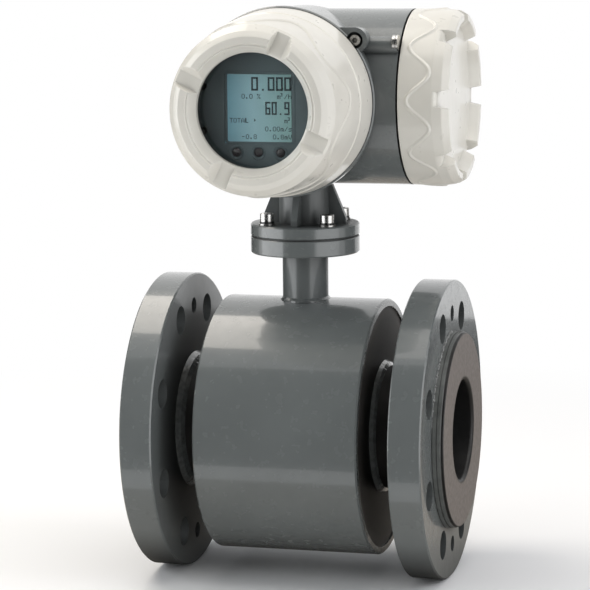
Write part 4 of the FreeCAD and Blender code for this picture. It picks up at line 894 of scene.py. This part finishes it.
def add_camera():
    """Long lens from the front right, a little above the display."""
    az, el = CAMERA_AZIMUTH, CAMERA_ELEVATION
    back = Vector((math.sin(az) * math.cos(el), -math.cos(az) * math.cos(el), math.sin(el)))
    right = Vector((math.cos(az), math.sin(az), 0))
    up = back.cross(right)
    right = right * math.cos(CAMERA_ROLL) + up * math.sin(CAMERA_ROLL)
    up = back.cross(right)
    place = CAMERA_TARGET + back * CAMERA_DISTANCE
    data = bpy.data.cameras.new("camera")
    data.lens = CAMERA_LENS
    data.sensor_width = SENSOR_WIDTH
    data.clip_end = 50
    camera = bpy.data.objects.new("camera", data)
    bpy.context.collection.objects.link(camera)
    camera.matrix_world = Matrix((
        (right.x, up.x, back.x, place.x),
        (right.y, up.y, back.y, place.y),
        (right.z, up.z, back.z, place.z),
        (0, 0, 0, 1)))
    bpy.context.scene.camera = camera


def add_light(name, place, target, size, power, colour, in_gloss):
    """Soft rectangular light, turned to its target."""
    data = bpy.data.lights.new(name, "AREA")
    data.shape = "RECTANGLE"
    data.size, data.size_y = size
    data.energy = power
    data.color = colour
    light = bpy.data.objects.new(name, data)
    bpy.context.collection.objects.link(light)
    light.location = place
    direction = Vector(target) - Vector(place)
    light.rotation_euler = direction.to_track_quat("-Z", "Y").to_euler()
    light.visible_glossy = in_gloss


def add_world():
    """White surroundings for the camera, gloss and glass, and a soft fill on the object."""
    world = bpy.data.worlds.new("studio")
    bpy.context.scene.world = world
    world.use_nodes = True
    tree = world.node_tree
    tree.nodes.clear()
    path = add_node(tree, "ShaderNodeLightPath")
    seen = add_node(tree, "ShaderNodeMath", operation="MAXIMUM")
    seen_all = add_node(tree, "ShaderNodeMath", operation="MAXIMUM")
    fill = add_node(tree, "ShaderNodeBackground")
    white = add_node(tree, "ShaderNodeBackground")
    mix = add_node(tree, "ShaderNodeMixShader")
    output = add_node(tree, "ShaderNodeOutputWorld")
    feed(tree, seen, {0: path.outputs["Is Camera Ray"], 1: path.outputs["Is Glossy Ray"]})
    feed(tree, seen_all, {0: seen.outputs[0], 1: path.outputs["Is Transmission Ray"]})
    feed(tree, fill, {"Color": (0.94, 0.97, 1.0), "Strength": 0.27})
    feed(tree, white, {"Color": (1, 1, 1)})
    feed(tree, mix, {"Fac": seen_all.outputs[0], 1: fill.outputs[0], 2: white.outputs[0]})
    feed(tree, output, {"Surface": mix.outputs[0]})


def flat_card(name, place, size, facing, colour):
    """Matt rectangle of the studio, facing a direction; it is stage, not part of the meter."""
    half_x, half_y = size[0] / 2, size[1] / 2
    corners = [(-half_x, -half_y, 0), (half_x, -half_y, 0), (half_x, half_y, 0), (-half_x, half_y, 0)]
    mesh = bpy.data.meshes.new(name)
    mesh.from_pydata(corners, [], [(0, 1, 2, 3)])
    card = bpy.data.objects.new(name, mesh)
    bpy.context.collection.objects.link(card)
    card.location = place
    card.rotation_euler = Vector(facing).to_track_quat("Z", "Y").to_euler()
    material, tree, shader = new_material(name + "_matt")
    feed(tree, shader, {"Base Color": colour, "Roughness": 0.9, "Specular IOR Level": 0.0})
    mesh.materials.append(material)
    return card


def add_floor():
    """Pale floor that keeps the meter's shadow and melts into the white surroundings."""
    shadow_reach, white_from = 0.25, 0.75
    floor = flat_card("floor", (0, 0, FLOOR_Z), (14, 14), (0, 0, 1), (0.93, 0.93, 0.93))
    floor.visible_glossy = False
    tree = floor.data.materials[0].node_tree
    path = add_node(tree, "ShaderNodeLightPath")
    seen_far = add_node(tree, "ShaderNodeMath", operation="MULTIPLY")
    white = add_node(tree, "ShaderNodeEmission")
    mix = add_node(tree, "ShaderNodeMixShader")
    matt = tree.nodes["Principled BSDF"]
    far = remapped(tree, radius_from(tree, 2), shadow_reach, white_from, 0.0, 1.0)
    feed(tree, seen_far, {0: path.outputs["Is Camera Ray"], 1: far})
    feed(tree, mix, {"Fac": seen_far.outputs[0], 1: matt.outputs[0], 2: white.outputs[0]})
    feed(tree, tree.nodes["Material Output"], {"Surface": mix.outputs[0]})


def add_reflected_cards():
    """Dark walls round the meter and a beige table top below, seen only in its gloss."""
    for values in REFLECTED_CARDS:
        card = flat_card(*values)
        card.visible_camera = False
        card.visible_diffuse = False
        card.visible_transmission = False
        card.visible_shadow = False


bpy.context.scene.view_settings.view_transform = "Standard"
add_world()
add_floor()
add_reflected_cards()
add_camera()
for values in LIGHTS:
    add_light(*values)
dress_nodes()
add_display_cover()
add_terminal_cover()
add_screen_content()
add_screen_frame()
add_keys()
add_seal_smear()
add_lock_bolt()
